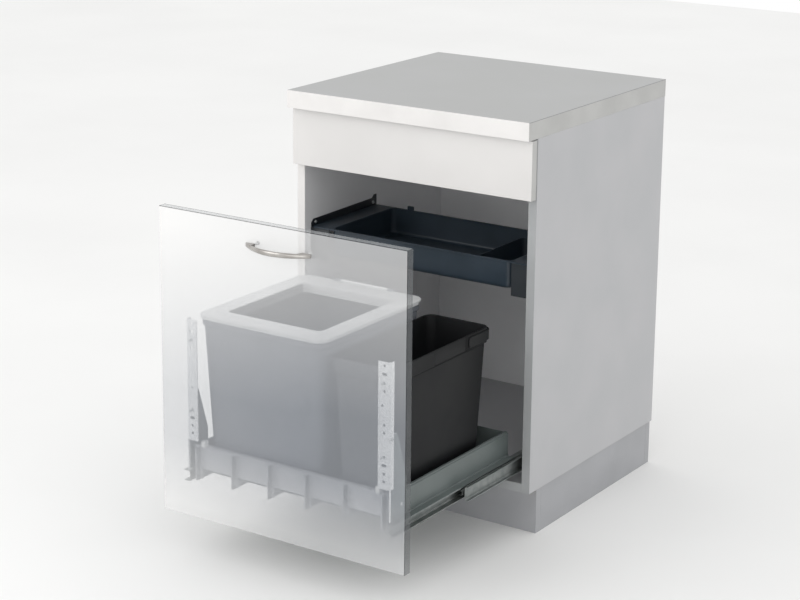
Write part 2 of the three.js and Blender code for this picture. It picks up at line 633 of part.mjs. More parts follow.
function rivet(sign, [y, z], inner, outer) {
  const sink = RIVET_HEAD / 2;
  const head = (from, to) => barX(RIVET_HEAD_RADIUS, sign * from, sign * to, y, z);
  const shank = barX(SCREW_RADIUS, sign * (inner - sink), sign * (outer + sink), y, z);
  return join(shank, head(inner - RIVET_HEAD, inner), head(outer, outer + RIVET_HEAD));
}

// A screw driven towards the front, its head resting on a face that looks to the back.
function screwY(x, face, tip, z) {
  return join(
    barY(SCREW_RADIUS, tip, face + SCREW_SINK, x, z),
    barY(SCREW_HEAD_RADIUS, face, face + SCREW_HEAD, x, z));
}

function door() {
  const halfWidth = HALF_WIDTH - FRONT_SIDE_INSET;
  const panel = box([-halfWidth, DOOR_FRONT, DOOR_TOP - DOOR_HEIGHT], [halfWidth, DOOR_BACK, DOOR_TOP]);
  const holeRadius = SCREW_RADIUS + CLEARANCE;
  const holes = [];
  for (const [side, sign] of SIDES) {
    const x = sign * HANDLE_PITCH / 2;
    holes.push(barY(holeRadius, DOOR_FRONT - OVERCUT, DOOR_BACK + OVERCUT, x, HANDLE_Z));
    for (const height of BRACKET_SCREWS) {
      const z = STRIP_FOOT + height;
      holes.push(barY(holeRadius, DOOR_BACK - SCREW_LENGTH, DOOR_BACK + OVERCUT, sign * STRIP_MIDDLE, z));
    }
    add(pullout, `handle_screw_${side}`,
      screwY(x, DOOR_BACK, DOOR_FRONT - HANDLE_SCREW_DEPTH, HANDLE_Z), galvanised);
    doorFixing(side, sign);
  }
  add(pullout, 'door_panel', cut(panel, ...holes), acrylic);
  add(pullout, 'door_handle', bowHandle(), nickel);
}

// The bow swells out of two solid feet; its section is an ellipse that is widest in the middle, and
// over the feet its inner half is drawn out as far as the door.
function bowHandle() {
  const halfLength = HANDLE_LENGTH / 2;
  const rings = [];
  for (let i = 0; i <= HANDLE_STEPS; i += 1) {
    const u = -1 + 2 * i / HANDLE_STEPS;
    const turn = u * Math.PI / 2;
    const lift = Math.cos(turn) ** HANDLE_BOW_POWER * HANDLE_BOW;
    const swell = 1 - (1 - HANDLE_END_SCALE) * u * u;
    const overFoot = halfLength * (1 - Math.abs(u)) < HANDLE_FOOT;
    const ring = [];
    for (let k = 0; k < HANDLE_SIDES; k += 1) {
      const angle = -k / HANDLE_SIDES * 2 * Math.PI;
      const out = HANDLE_HALF_THICKNESS * swell * Math.cos(angle);
      const up = HANDLE_HALF_WIDTH * swell * Math.sin(angle);
      const reach = overFoot && out < 0 ? -HANDLE_HALF_THICKNESS : lift + out;
      ring.push([u * halfLength, DOOR_FRONT - reach, HANDLE_Z + up]);
    }
    rings.push(ring);
  }
  const behindDoor = box(
    [-HANDLE_LENGTH, DOOR_FRONT, HANDLE_Z - HANDLE_BOW],
    [HANDLE_LENGTH, DOOR_FRONT + HANDLE_BOW, HANDLE_Z + HANDLE_BOW]);
  const holeDepth = HANDLE_SCREW_DEPTH + OVERCUT;
  const holes = SIDES.map(([, sign]) => barY(
    SCREW_RADIUS + CLEARANCE, DOOR_FRONT - holeDepth, DOOR_FRONT + OVERCUT,
    sign * HANDLE_PITCH / 2, HANDLE_Z));
  return cut(loft(rings), behindDoor, ...holes);
}

// The perforated strip of the right-hand bracket, seen from the front.
function stripOutline() {
  const corner = BRACKET_CORNER;
  const bend = STRIP_INNER + corner;
  const shape = new THREE.Shape();
  shape.moveTo(bend, STRIP_FOOT);
  shape.lineTo(FLANGE_OUTER, STRIP_FOOT);
  shape.lineTo(FLANGE_OUTER, STRIP_TOP);
  shape.lineTo(bend, STRIP_TOP);
  shape.absarc(bend, STRIP_TOP - corner, corner, Math.PI / 2, Math.PI, false);
  shape.absarc(bend, STRIP_FOOT + corner, corner, Math.PI, 1.5 * Math.PI, false);
  const holeCentres = [...BRACKET_HOLES, ...BRACKET_SCREWS].map((height) => [STRIP_MIDDLE, height]);
  holeCentres.push([STRIP_MIDDLE - BRACKET_OFFSET, BRACKET_OFFSET_HOLE]);
  for (const [x, height] of holeCentres) {
    const hole = new THREE.Path();
    hole.absarc(x, STRIP_FOOT + height, STRIP_HOLE_RADIUS, 0, 2 * Math.PI, true);
    shape.holes.push(hole);
  }
  const reach = SLOT_LENGTH / 2 - STRIP_HOLE_RADIUS;
  for (const height of BRACKET_SLOTS) {
    const z = STRIP_FOOT + height;
    const slot = new THREE.Path();
    slot.absarc(STRIP_MIDDLE + reach, z, STRIP_HOLE_RADIUS, Math.PI / 2, -Math.PI / 2, true);
    slot.absarc(STRIP_MIDDLE - reach, z, STRIP_HOLE_RADIUS, -Math.PI / 2, -1.5 * Math.PI, true);
    shape.holes.push(slot);
  }
  return shape;
}

// Side view of a gusset: upright heel, slant, and the tab that is riveted to the bracket's flange.
function gussetOutline() {
  return outline([
    [STRIP_BACK, GUSSET_BOTTOM],
    [GUSSET_FOOT_DEPTH, GUSSET_BOTTOM],
    [GUSSET_FOOT_DEPTH, SIDE_RAIL_TOP + GUSSET_HEEL_RISE],
    [GUSSET_TOP_DEPTH, GUSSET_TOP - GUSSET_TAB],
    [GUSSET_TOP_DEPTH, GUSSET_TOP],
    [STRIP_BACK, GUSSET_TOP],
  ]);
}

// A perforated angle strip, the gusset behind it, its screws and rivets, and the clip at its foot.
function doorFixing(side, sign) {
  const strip = alongY(stripOutline(), DOOR_BACK, STRIP_BACK);
  const flange = box(
    [sign * FLANGE_INNER, DOOR_BACK, GUSSET_BOTTOM],
    [sign * FLANGE_OUTER, BRACKET_FLANGE, STRIP_TOP]);
  const bracket = join(sign > 0 ? strip : mirrored(strip), flange);
  add(pullout, `door_bracket_${side}`, cut(bracket, rivetHole(sign, BRACKET_RIVET)), lightCoatedSteel);

  const gussetLow = sign > 0 ? GUSSET_INNER : -FLANGE_INNER;
  const gusset = alongX(gussetOutline(), gussetLow, gussetLow + BRACKET_SHEET);
  add(pullout, `gusset_${side}`,
    cut(gusset, rivetHole(sign, GUSSET_RIVET), rivetHole(sign, BRACKET_RIVET)), coatedSteel);

  const gussetRivet = rivet(sign, GUSSET_RIVET, RAIL_INNER, FLANGE_INNER);
  const bracketRivet = rivet(sign, BRACKET_RIVET, GUSSET_INNER, FLANGE_OUTER);
  add(pullout, `gusset_rivet_${side}`, gussetRivet, galvanised);
  add(pullout, `bracket_rivet_${side}`, bracketRivet, galvanised);

  BRACKET_SCREWS.forEach((height, i) => {
    const screw = screwY(sign * STRIP_MIDDLE, STRIP_BACK, STRIP_BACK - SCREW_LENGTH, STRIP_FOOT + height);
    add(pullout, `bracket_screw_${side}_${i + 1}`, screw, galvanised);
  });

  const [width, depth, height] = CLIP;
  const clipOuter = STRIP_INNER - CLIP_GAP;
  const clip = box(
    [sign * (clipOuter - width), FRAME_SETBACK - depth, SIDE_RAIL_TOP],
    [sign * clipOuter, FRAME_SETBACK, SIDE_RAIL_TOP + height]);
  add(pullout, `bracket_clip_${side}`, clip, whiteNylon);
}

function mirrored(geometry) {
  const flipped = geometry.clone().scale(-1, 1, 1);
  const bare = flipped.index ? flipped.toNonIndexed() : flipped;
  const position = bare.attributes.position;
  for (let i = 0; i < position.count; i += 3) {
    const a = new THREE.Vector3().fromBufferAttribute(position, i);
    const b = new THREE.Vector3().fromBufferAttribute(position, i + 1);
    position.setXYZ(i, b.x, b.y, b.z);
    position.setXYZ(i + 1, a.x, a.y, a.z);
  }
  return bare;
}

// ---------------------------------------------------------------- bins
const LARGE_BIN = {
  width: LARGE_BIN_WIDTH,
  depth: LARGE_BIN_DEPTH,
  height: LARGE_BIN_HEIGHT,
  band: LARGE_BIN_BAND,
  corner: BIN_CORNER,
  x: -RAIL_OUTER + BIN_SIDE_CLEARANCE + CLAMP_OVERHANG + LARGE_BIN_WIDTH / 2,
};
const SMALL_BIN_LEFT = LARGE_BIN.x + LARGE_BIN_WIDTH / 2 + CLAMP_OVERHANG + BIN_GAP;
const SMALL_BIN_RIGHT = RAIL_OUTER - SIDE_RAIL_LEDGE - SMALL_BIN_CLEARANCE;
const SMALL_BIN_WIDTH = SMALL_BIN_RIGHT - SMALL_BIN_LEFT;
const SMALL_BIN = {
  width: SMALL_BIN_WIDTH,
  depth: SMALL_BIN_DEPTH,
  height: SMALL_BIN_HEIGHT,
  band: SMALL_BIN_BAND,
  corner: SMALL_BIN_CORNER,
  x: (SMALL_BIN_LEFT + SMALL_BIN_RIGHT) / 2,
};
for (const bin of [LARGE_BIN, SMALL_BIN]) {
  bin.footHalfWidth = bin.width / 2 - BAND_PROUD - bin.height * BIN_TAPER;
  bin.footHalfDepth = bin.depth / 2 - BAND_PROUD - bin.height * BIN_TAPER;
}
// The large bin's foot stands just behind its front ridge; the small bin follows the large one's front,
// and their backs are in line.
const BIN_FOOT_FRONT = FRAME_SETBACK + BIN_FRONT_CLEARANCE + LOCATOR_WIDTH + LOCATOR_GAP;
LARGE_BIN.y = BIN_FOOT_FRONT + LARGE_BIN.footHalfDepth;
SMALL_BIN.y = LARGE_BIN.y - LARGE_BIN_DEPTH / 2 + SMALL_BIN_SETBACK + SMALL_BIN_DEPTH / 2;

// A tapered tub with a band under its rim, its floor at z = 0.
function tub({ width, depth, height, band, corner }) {
  const ring = (inset, z) =>
    ringAt(width / 2 - inset, depth / 2 - inset, corner - inset * BIN_CORNER_SHRINK, z);
  const lean = (z) => BAND_PROUD + (height - z) * BIN_TAPER;
  const foot = BIN_FOOT_RADIUS;
  const bevel = foot * (1 - Math.SQRT1_2);      // half-way point of the foot's rounding
  return loft([
    ring(lean(0) + foot, 0),
    ring(lean(0) + bevel, bevel),
    ring(lean(foot), foot),
    ring(lean(height - band), height - band),
    ring(0, height - band),
    ring(0, height),
    ring(BAND_PROUD + BIN_WALL, height),
    ring(lean(foot + BIN_WALL) + BIN_WALL, foot + BIN_WALL),
    ring(lean(BIN_WALL) + BIN_WALL + foot, BIN_WALL),
  ]);
}

const LUG_NEAR = HINGE_BARREL / 2 + HINGE_END_GAP;
const LUG_FAR = LUG_NEAR + HINGE_LUG;
const HINGE_Y = LARGE_BIN_DEPTH / 2 + 2 * CLAMP_OVERHANG;
const HINGE_Z = LARGE_BIN_HEIGHT + CLAMP_SHEET / 2;
const BAIL_PIVOT_Y = SMALL_BIN_DEPTH / 2 - BAIL_REACH;

function bins() {
  const largeBin = new THREE.Group();
  largeBin.position.set(LARGE_BIN.x, LARGE_BIN.y, FLOOR_TOP);
  pullout.add(largeBin);
  const lugs = [];
  for (const [, sign] of SIDES) {
    lugs.push(box(
      [sign * LUG_NEAR, LARGE_BIN_DEPTH / 2 - BAND_PROUD, LARGE_BIN_HEIGHT - LARGE_BIN_BAND],
      [sign * LUG_FAR, HINGE_Y + HINGE_RADIUS, HINGE_Z]));
    lugs.push(barX(HINGE_RADIUS, sign * LUG_NEAR, sign * LUG_FAR, HINGE_Y, HINGE_Z));
  }
  const pinEnd = LUG_FAR + OVERCUT;
  const pinHole = barX(HINGE_PIN_RADIUS + CLEARANCE, -pinEnd, pinEnd, HINGE_Y, HINGE_Z);
  const pin = barX(HINGE_PIN_RADIUS, -LUG_FAR, LUG_FAR, HINGE_Y, HINGE_Z);
  add(largeBin, 'large_bin', cut(join(tub(LARGE_BIN), ...lugs), pinHole), binGrey);
  add(largeBin, 'clamp_hinge_pin', pin, galvanised);
  add(largeBin, 'clamp_frame', clampFrame(pinHole), lightMoulding);

  const smallBin = new THREE.Group();
  smallBin.position.set(SMALL_BIN.x, SMALL_BIN.y, FLOOR_TOP);
  pullout.add(smallBin);
  const pivotZ = SMALL_BIN_HEIGHT - BAIL_PIVOT_DROP;
  const pivotHole = barX(
    BAIL_PIN_RADIUS + CLEARANCE, -SMALL_BIN_WIDTH, SMALL_BIN_WIDTH, BAIL_PIVOT_Y, pivotZ);
  add(smallBin, 'small_bin', cut(tub(SMALL_BIN), pivotHole), binBlack);
  add(smallBin, 'bail_handle', bail(pivotZ), binBlack);
}

// A flat ring between two rounded rectangles, each given as [half width, half depth, radius].
function ringPlate(outer, inner, z0, z1) {
  const shape = outline(roundedRectangle(...outer));
  shape.holes.push(outline(roundedRectangle(...inner)));
  return alongZ(shape, z0, z1);
}

// The light ring that clamps the bag: a flat border, a lip over the bin's rim, a skirt with
// perforations inside the bin, and a hinge barrel behind.
function clampFrame(pinHole) {
  const halfWidth = LARGE_BIN_WIDTH / 2 + CLAMP_OVERHANG;
  const halfDepth = LARGE_BIN_DEPTH / 2 + CLAMP_OVERHANG;
  const openWidth = halfWidth - CLAMP_SIDE_BORDER;
  const openDepth = halfDepth - CLAMP_END_BORDER;
  const bottom = LARGE_BIN_HEIGHT;
  const top = bottom + CLAMP_SHEET;
  const middle = bottom + CLAMP_SHEET / 2;
  const outside = [halfWidth, halfDepth, BIN_CORNER + CLAMP_OVERHANG];
  const opening = [openWidth, openDepth, CLAMP_CORNER];
  const rim = [LARGE_BIN_WIDTH / 2, LARGE_BIN_DEPTH / 2, BIN_CORNER].map((size) => size + CLAMP_RIM_GAP);
  const skirtOutside = opening.map((size) => size + CLAMP_WALL);

  const border = ringPlate(outside, opening, bottom, top);
  const skirt = ringPlate(skirtOutside, opening, bottom - CLAMP_SKIRT, middle);
  const openBack = box(
    [-halfWidth - OVERCUT, LARGE_BIN_DEPTH / 2 - BIN_CORNER, 0],
    [halfWidth + OVERCUT, halfDepth + OVERCUT, bottom]);
  const lip = cut(ringPlate(outside, rim, bottom - CLAMP_LIP, middle), openBack);

  const holeCount = Math.floor(2 * (openDepth - CLAMP_CORNER) / CLAMP_HOLE_PITCH);
  const holeZ = bottom - CLAMP_SKIRT / 2;
  const holes = [];
  for (let i = 0; i < holeCount; i += 1) {
    const y = (i - (holeCount - 1) / 2) * CLAMP_HOLE_PITCH;
    holes.push(barX(CLAMP_HOLE_RADIUS, -openWidth - CLAMP_WALL - OVERCUT, -openWidth + OVERCUT,
      y, holeZ, SMALL_HOLE_SIDES));
  }
  const barrel = barX(HINGE_RADIUS, -HINGE_BARREL / 2, HINGE_BARREL / 2, HINGE_Y, HINGE_Z);
  const web = box(
    [-HINGE_BARREL / 2, halfDepth - OVERCUT, HINGE_Z - CLAMP_SHEET / 2],
    [HINGE_BARREL / 2, HINGE_Y, top]);
  const notches = SIDES.map(([, sign]) => box(
    [sign * (LUG_NEAR - HINGE_END_GAP / 2), LARGE_BIN_DEPTH / 2 - BAND_PROUD - OVERCUT, 0],
    [sign * (LUG_FAR + HINGE_END_GAP / 2), halfDepth + OVERCUT, top + OVERCUT]));
  return cut(join(border, lip, skirt, barrel, web), pinHole, ...notches, ...holes);
}

// A U-shaped strap lying around the back of the band; each arm has a round end with an inward pin.
function bail(pivotZ) {
  const innerWidth = SMALL_BIN_WIDTH / 2 + BAIL_GAP;
  const innerDepth = SMALL_BIN_DEPTH / 2 + BAIL_SWING_GAP;
  const inner = [innerWidth, innerDepth, SMALL_BIN_CORNER + BAIL_GAP];
  const outer = inner.map((size) => size + BAIL_THICKNESS);
  const low = pivotZ - BAIL_HEIGHT / 2;
  const high = pivotZ + BAIL_HEIGHT / 2;
  const [outerWidth, outerDepth] = outer;
  const inFront = box(
    [-outerWidth - OVERCUT, -outerDepth - OVERCUT, low - OVERCUT],
    [outerWidth + OVERCUT, BAIL_PIVOT_Y, high + OVERCUT]);
  const loop = cut(ringPlate(outer, inner, low, high), inFront);
  const pinTip = SMALL_BIN_WIDTH / 2 - BAND_PROUD - BIN_WALL;
  const pinRoot = innerWidth + BAIL_THICKNESS / 2;
  const ends = SIDES.flatMap(([, sign]) => [
    barX(BAIL_HEIGHT / 2, sign * innerWidth, sign * outerWidth, BAIL_PIVOT_Y, pivotZ, HUB_SIDES),
    barX(BAIL_PIN_RADIUS, sign * pinTip, sign * pinRoot, BAIL_PIVOT_Y, pivotZ),
  ]);
  return join(loop, ...ends);
}

// ---------------------------------------------------------------- utensil tray
function utensilTray() {
  const tray = new THREE.Group();
  tray.position.set(0, TRAY_SETBACK + TRAY_RIM_OVERHANG + TRAY_DEPTH / 2, TRAY_RIM - TRAY_HEIGHT);
  fixed.add(tray);
  add(tray, 'utensil_tray', trayTub(), anthracite);

  const insertX = TRAY_HALF - TRAY_BOTTOM_RADIUS / 2 - TRAY_WALL - INSERT_GAP - INSERT_WIDTH / 2;
  add(tray, 'tray_insert', insertTub().translate(insertX, 0, TRAY_WALL), anthracite);
}

// The tray's body with rounded lower edges and the flange that runs on the brackets' ledges.
function trayTub() {
  const halfWidth = TRAY_HALF;
  const halfDepth = TRAY_DEPTH / 2;
  const rimWidth = BAY_HALF - TRAY_BRACKET_SHEET - TRAY_RUNNING_GAP;
  const rimDepth = halfDepth + TRAY_RIM_OVERHANG;
  const rimBottom = TRAY_HEIGHT - TRAY_FLANGE;
  const rounding = (wall, corner) => {
    const radius = TRAY_BOTTOM_RADIUS - wall;
    const rings = [];
    for (let i = 0; i <= TRAY_ARC_STEPS; i += 1) {
      const angle = i / TRAY_ARC_STEPS * Math.PI / 2;
      const inset = wall + radius * (1 - Math.sin(angle));
      const z = wall + radius * (1 - Math.cos(angle));
      rings.push(ringAt(halfWidth - inset, halfDepth - inset, corner, z));
    }
    return rings;
  };
  const innerCorner = TRAY_CORNER - TRAY_WALL;
  return loft([
    ...rounding(0, TRAY_CORNER),
    ringAt(halfWidth, halfDepth, TRAY_CORNER, rimBottom),
    ringAt(rimWidth, rimDepth, TRAY_CORNER / 2, rimBottom),
    ringAt(rimWidth, rimDepth, TRAY_CORNER / 2, TRAY_HEIGHT),
    ringAt(halfWidth - TRAY_WALL, halfDepth - TRAY_WALL, innerCorner, TRAY_HEIGHT),
    ...rounding(TRAY_WALL, innerCorner).reverse(),
  ]);
}

function insertTub() {
  const ring = (inset, z) =>
    ringAt(INSERT_WIDTH / 2 - inset, INSERT_DEPTH / 2 - inset, INSERT_CORNER - inset / 2, z);
  return loft([
    ring(INSERT_FOOT_INSET + INSERT_LEAN, 0),
    ring(INSERT_LEAN, INSERT_FOOT_RISE),
    ring(0, INSERT_HEIGHT),
    ring(INSERT_WALL, INSERT_HEIGHT),
    ring(INSERT_WALL + INSERT_LEAN, INSERT_FOOT_RISE + INSERT_WALL),
    ring(INSERT_WALL + INSERT_LEAN + INSERT_FOOT_INSET, INSERT_WALL),
  ]);
}

// Each bracket is a plate on the side panel with a ledge under the tray's flange and a front cover.
function trayBrackets() {
  const plateInner = BAY_HALF - TRAY_BRACKET_SHEET;
  const front = TRAY_SETBACK;
  const back = front + TRAY_BRACKET_LENGTH;
  const ledgeInner = TRAY_HALF + TRAY_RUNNING_GAP;
  const ledgeBottom = LEDGE_TOP - TRAY_BRACKET_SHEET;
  const upper = LEDGE_TOP + TRAY_BRACKET_UPSTAND;
  const tabFront = back - TRAY_BRACKET_TAB_LENGTH;
  const sideView = outline([
    [front, ledgeBottom],
    [back, ledgeBottom],
    [back, upper + TRAY_BRACKET_TAB],
    [tabFront, upper + TRAY_BRACKET_TAB],
    [tabFront - TRAY_BRACKET_TAB_SLOPE, upper],
    [front + TRAY_BRACKET_CHAMFER, upper],
    [front, upper - TRAY_BRACKET_CHAMFER],
  ]);
  for (const [side, sign] of SIDES) {
    const low = sign > 0 ? plateInner : -BAY_HALF;
    const plate = alongX(sideView, low, low + TRAY_BRACKET_SHEET);
    const ledge = box([sign * ledgeInner, front, ledgeBottom], [sign * BAY_HALF, back, LEDGE_TOP]);
    const cover = box(
      [sign * ledgeInner, front, LEDGE_TOP - TRAY_BRACKET_COVER],
      [sign * BAY_HALF, front + TRAY_BRACKET_SHEET, LEDGE_TOP]);
    const holes = TRAY_SCREWS.map((y) =>
      barX(HOLE_RADIUS, sign * (plateInner - OVERCUT), sign * (BAY_HALF + OVERCUT), y, TRAY_SCREW_Z));
    add(fixed, `tray_bracket_${side}`, cut(join(plate, ledge, cover), ...holes), anthracite);

    TRAY_SCREWS.forEach((y, i) => {
      const tip = sign * (plateInner + SCREW_LENGTH);
      const shank = barX(SCREW_RADIUS, sign * (plateInner - SCREW_SINK), tip, y, TRAY_SCREW_Z);
      const head = barX(
        SCREW_HEAD_RADIUS, sign * (plateInner - SCREW_HEAD), sign * plateInner, y, TRAY_SCREW_Z);
      add(fixed, `tray_screw_${side}_${i + 1}`, join(shank, head), galvanised);
    });
  }
}

carcass();
plinth();
runners();
frame();
door();
bins();
utensilTray();
trayBrackets();

export default cabinet;
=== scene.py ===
"""The looks of a pull-out waste cabinet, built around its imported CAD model. Metres, +Z up."""
import math

import bmesh
import bpy
from mathutils import Matrix, Vector


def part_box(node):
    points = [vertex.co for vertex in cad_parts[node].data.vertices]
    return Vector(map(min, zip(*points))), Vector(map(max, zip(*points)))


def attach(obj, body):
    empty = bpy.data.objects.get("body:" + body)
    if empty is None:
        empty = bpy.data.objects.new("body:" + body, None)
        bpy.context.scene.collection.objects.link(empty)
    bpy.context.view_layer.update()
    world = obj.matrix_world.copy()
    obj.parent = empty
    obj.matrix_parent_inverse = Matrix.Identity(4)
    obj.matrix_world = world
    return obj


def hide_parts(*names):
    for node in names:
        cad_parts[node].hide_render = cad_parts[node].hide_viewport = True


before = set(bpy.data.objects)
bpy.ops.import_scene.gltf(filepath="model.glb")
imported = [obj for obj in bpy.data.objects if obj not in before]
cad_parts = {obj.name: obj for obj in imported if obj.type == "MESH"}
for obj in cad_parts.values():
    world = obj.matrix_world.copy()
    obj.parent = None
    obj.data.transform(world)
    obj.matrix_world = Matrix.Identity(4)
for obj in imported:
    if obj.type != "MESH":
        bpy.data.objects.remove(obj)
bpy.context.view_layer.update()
MM = 0.001
SIDES = (("left", -1), ("right", 1))


# ------------------------------------------------------------------ colours and nodes
def hex_colour(text):
    """An sRGB hex colour as linear RGBA."""
    parts = [int(text[i:i + 2], 16) / 255 for i in (1, 3, 5)]
    linear = [p / 12.92 if p <= 0.04045 else ((p + 0.055) / 1.055) ** 2.4 for p in parts]
    return (*linear, 1.0)


def add_node(tree, kind, inputs=None, **settings):
    """Adds a node, applies its settings and fills its inputs; a socket given as input is linked."""
    made = tree.nodes.new(kind)
    for name, value in settings.items():
        setattr(made, name, value)
    for key, value in (inputs or {}).items():
        if isinstance(value, bpy.types.NodeSocket):
            tree.links.new(value, made.inputs[key])
        else:
            made.inputs[key].default_value = value
    return made


class Finish:
    """A material in the making: its tree, its shader and its object coordinates."""

    def __init__(self, name, **shader_values):
        self.material = bpy.data.materials.new(name)
        self.material.use_nodes = True
        self.tree = self.material.node_tree
        self.shader = self.tree.nodes["Principled BSDF"]
        for key, value in shader_values.items():
            self.shader.inputs[key.replace("_", " ")].default_value = value
        self.coordinates = self.node("ShaderNodeTexCoord").outputs["Object"]

    def node(self, kind, inputs=None, **settings):
        return add_node(self.tree, kind, inputs, **settings)

    def stretched(self, scale):
        """Object coordinates scaled per axis, for grain and brushing that run one way."""
        made = self.node("ShaderNodeMapping", {"Vector": self.coordinates, "Scale": scale})
        return made.outputs["Vector"]

    def share_of(self, value, low, high, top=1.0):
        """Turns a value into a share: 0 at low, top at high."""
        made = self.node("ShaderNodeMapRange", {
            "Value": value, "From Min": low, "From Max": high, "To Max": top})
        return made.outputs["Result"]

    def reckon(self, operation, first, second):
        return self.node("ShaderNodeMath", {0: first, 1: second}, operation=operation).outputs[0]

    def noise(self, feature_mm, detail, coordinates=None):
        """Noise with features of about the given size."""
        where = self.coordinates if coordinates is None else coordinates
        made = self.node("ShaderNodeTexNoise", {
            "Vector": where, "Scale": 1 / (feature_mm * MM), "Detail": detail})
        return made.outputs["Fac"]

    def patches(self, feature_mm, low=0.35, high=0.65, detail=3, coordinates=None):
        """Soft patches of about feature_mm as a share from 0 to 1."""
        return self.share_of(self.noise(feature_mm, detail, coordinates), low, high)

    def blend(self, share, first, second):
        """Mixes two colours by a share; a Mix node's colour sockets go by number."""
        made = self.node("ShaderNodeMix", {0: share, 6: first, 7: second}, data_type="RGBA")
        return made.outputs[2]

    def colour(self, share, first, second):
        blended = self.blend(share, first, second)
        self.tree.links.new(blended, self.shader.inputs["Base Color"])

    def mottle(self, feature_mm, light, dark):
        """Colours the material with soft patches of two tones and returns the patches."""
        share = self.patches(feature_mm)
        self.colour(share, hex_colour(dark), hex_colour(light))
        return share

    def uneven(self, share, low, high):
        """Roughness that drifts between two values."""
        made = self.node("ShaderNodeMapRange", {"Value": share, "To Min": low, "To Max": high})
        self.tree.links.new(made.outputs["Result"], self.shader.inputs["Roughness"])

    def relief(self, height, depth_mm, strength):
        """Bumps the surface by a height from 0 to 1 times depth_mm."""
        made = self.node("ShaderNodeBump", {
            "Height": height, "Distance": depth_mm * MM, "Strength": strength})
        self.tree.links.new(made.outputs["Normal"], self.shader.inputs["Normal"])


# ------------------------------------------------------------------ materials
def melamine(name, light, dark):
    """Melamine-faced chipboard: printed paper pressed hot against a textured plate.
    Gives a matt, even tone with a fine pearled grain; its 0.3 mm grain is drawn at 1.2 mm."""
    made = Finish(name, Specular_IOR_Level=0.4)
    made.uneven(made.mottle(140, light, dark), 0.38, 0.5)
    made.relief(made.noise(1.2, 2), 0.05, 0.35)
    return made.material


def raw_chipboard():
    """Sawn chipboard edge: wood flakes of 2 to 5 mm set in glue.
    Gives a speckled brown edge where no band was glued on."""
    made = Finish("chipboard_sawn_edge", Roughness=0.85)
    flakes = made.node("ShaderNodeTexVoronoi", {
        "Vector": made.stretched((1, 1, 1.6)), "Scale": 1 / (3 * MM)})
    tone = made.node("ShaderNodeSeparateColor", {"Color": flakes.outputs["Color"]}).outputs[0]
    made.colour(tone, hex_colour("#8f7655"), hex_colour("#c9ad82"))
    made.relief(flakes.outputs["Distance"], 0.4, 0.6)
    return made.material


def edging(name, light, dark):
    """ABS edge band: extruded, glued on and scraped flush.
    Gives a slightly glossier line than the board's faces, with faint marks along its length."""
    made = Finish(name)
    made.mottle(90, light, dark)
    scrape = made.patches(0.8, coordinates=made.stretched((1, 0.04, 0.04)))
    made.uneven(scrape, 0.33, 0.39)
    made.relief(scrape, 0.01, 0.12)
    return made.material


def laminate_core():
    """Phenolic core of pressed laminate, milled flush with the edge.
    Gives a thin dark line between the decor and the edge band."""
    made = Finish("laminate_core_milled", Roughness=0.5)
    made.mottle(40, "#74767a", "#66686b")
    return made.material


def laminate(name, light, dark, rough=(0.3, 0.4)):
    """High-pressure laminate: resin-soaked paper pressed hard and glued on.
    Gives a smooth satin face with a fine, even speckle; its 0.2 mm dots are drawn at 0.9 mm."""
    made = Finish(name, Specular_IOR_Level=0.45)
    drift = made.patches(260)
    speckle = made.patches(0.9, 0.3, 0.7, 1)
    tones = made.blend(drift, hex_colour(dark), hex_colour(light))
    made.colour(made.reckon("MULTIPLY", speckle, 0.12), tones, hex_colour(dark))
    made.uneven(drift, *rough)
    made.relief(speckle, 0.02, 0.3)
    return made.material


def zinc_plated(name, light, dark, axis, rough=(0.3, 0.46)):
    """Cold-rolled steel, roll-formed and zinc plated.
    Gives a cool grey sheen with fine lines along the rolling direction and cloudy patches."""
    made = Finish(name, Metallic=1.0)
    made.mottle(18, light, dark)
    scale = [1.0, 1.0, 1.0]
    scale[axis] = 0.02
    lines = made.patches(0.6, coordinates=made.stretched(scale))
    made.uneven(lines, *rough)
    made.relief(lines, 0.02, 0.3)
    return made.material


def powder_coat(name, light, dark, roughness=0.45):
    """Sheet steel with powder coating, sprayed dry and baked.
    Gives a soft, slightly pebbled skin; its 0.5 mm orange peel is drawn at 1.6 mm to show."""
    made = Finish(name, Coat_Weight=0.15, Coat_Roughness=0.3)
    made.uneven(made.mottle(60, light, dark), roughness - 0.05, roughness + 0.07)
    made.relief(made.noise(1.6, 1), 0.06, 0.5)
    return made.material


def moulded(name, light, dark, roughness=0.45, shine=0.4):
    """Plastic, injection moulded in a spark-eroded mould.
    Gives a satin skin with a fine grain, its gloss drifting where the melt cooled unevenly."""
    made = Finish(name, Specular_IOR_Level=shine)
    made.uneven(made.mottle(90, light, dark), roughness - 0.03, roughness + 0.05)
    grain = made.node("ShaderNodeTexVoronoi", {
        "Vector": made.coordinates, "Scale": 1 / (1.4 * MM)}, feature="SMOOTH_F1")
    made.relief(grain.outputs["Distance"], 0.03, 0.08)
    return made.material


def cast_acrylic():
    """Cast acrylic sheet, white-tinted and satin-etched on its front.
    Gives a milky veil over what is behind it, with painted light and shade: white at its upper
    left, painted grey down to the right, and painted lighter again along its foot."""
    made = Finish("acrylic_sheet_tinted_painted_light_and_shade", IOR=1.49, Alpha=SHEET_ALPHA, Specular_IOR_Level=0.25)
    at = made.node("ShaderNodeSeparateXYZ", {"Vector": made.coordinates}).outputs
    across = made.share_of(at["X"], -0.3, 0.1, 0.3)
    down = made.share_of(at["Z"], 0.7, 0.36, 0.75)
    foot = made.share_of(at["Z"], 0.25, 0.11, 0.6)
    # The grey towards the lower right is painted shade; the lighter foot is painted light.
    grey = made.reckon("SUBTRACT", made.reckon("ADD", across, down), foot)
    made.uneven(made.patches(220), 0.36, 0.44)
    made.colour(grey, hex_colour("#ebeae9"), hex_colour("#9b9fa5"))
    return made.material


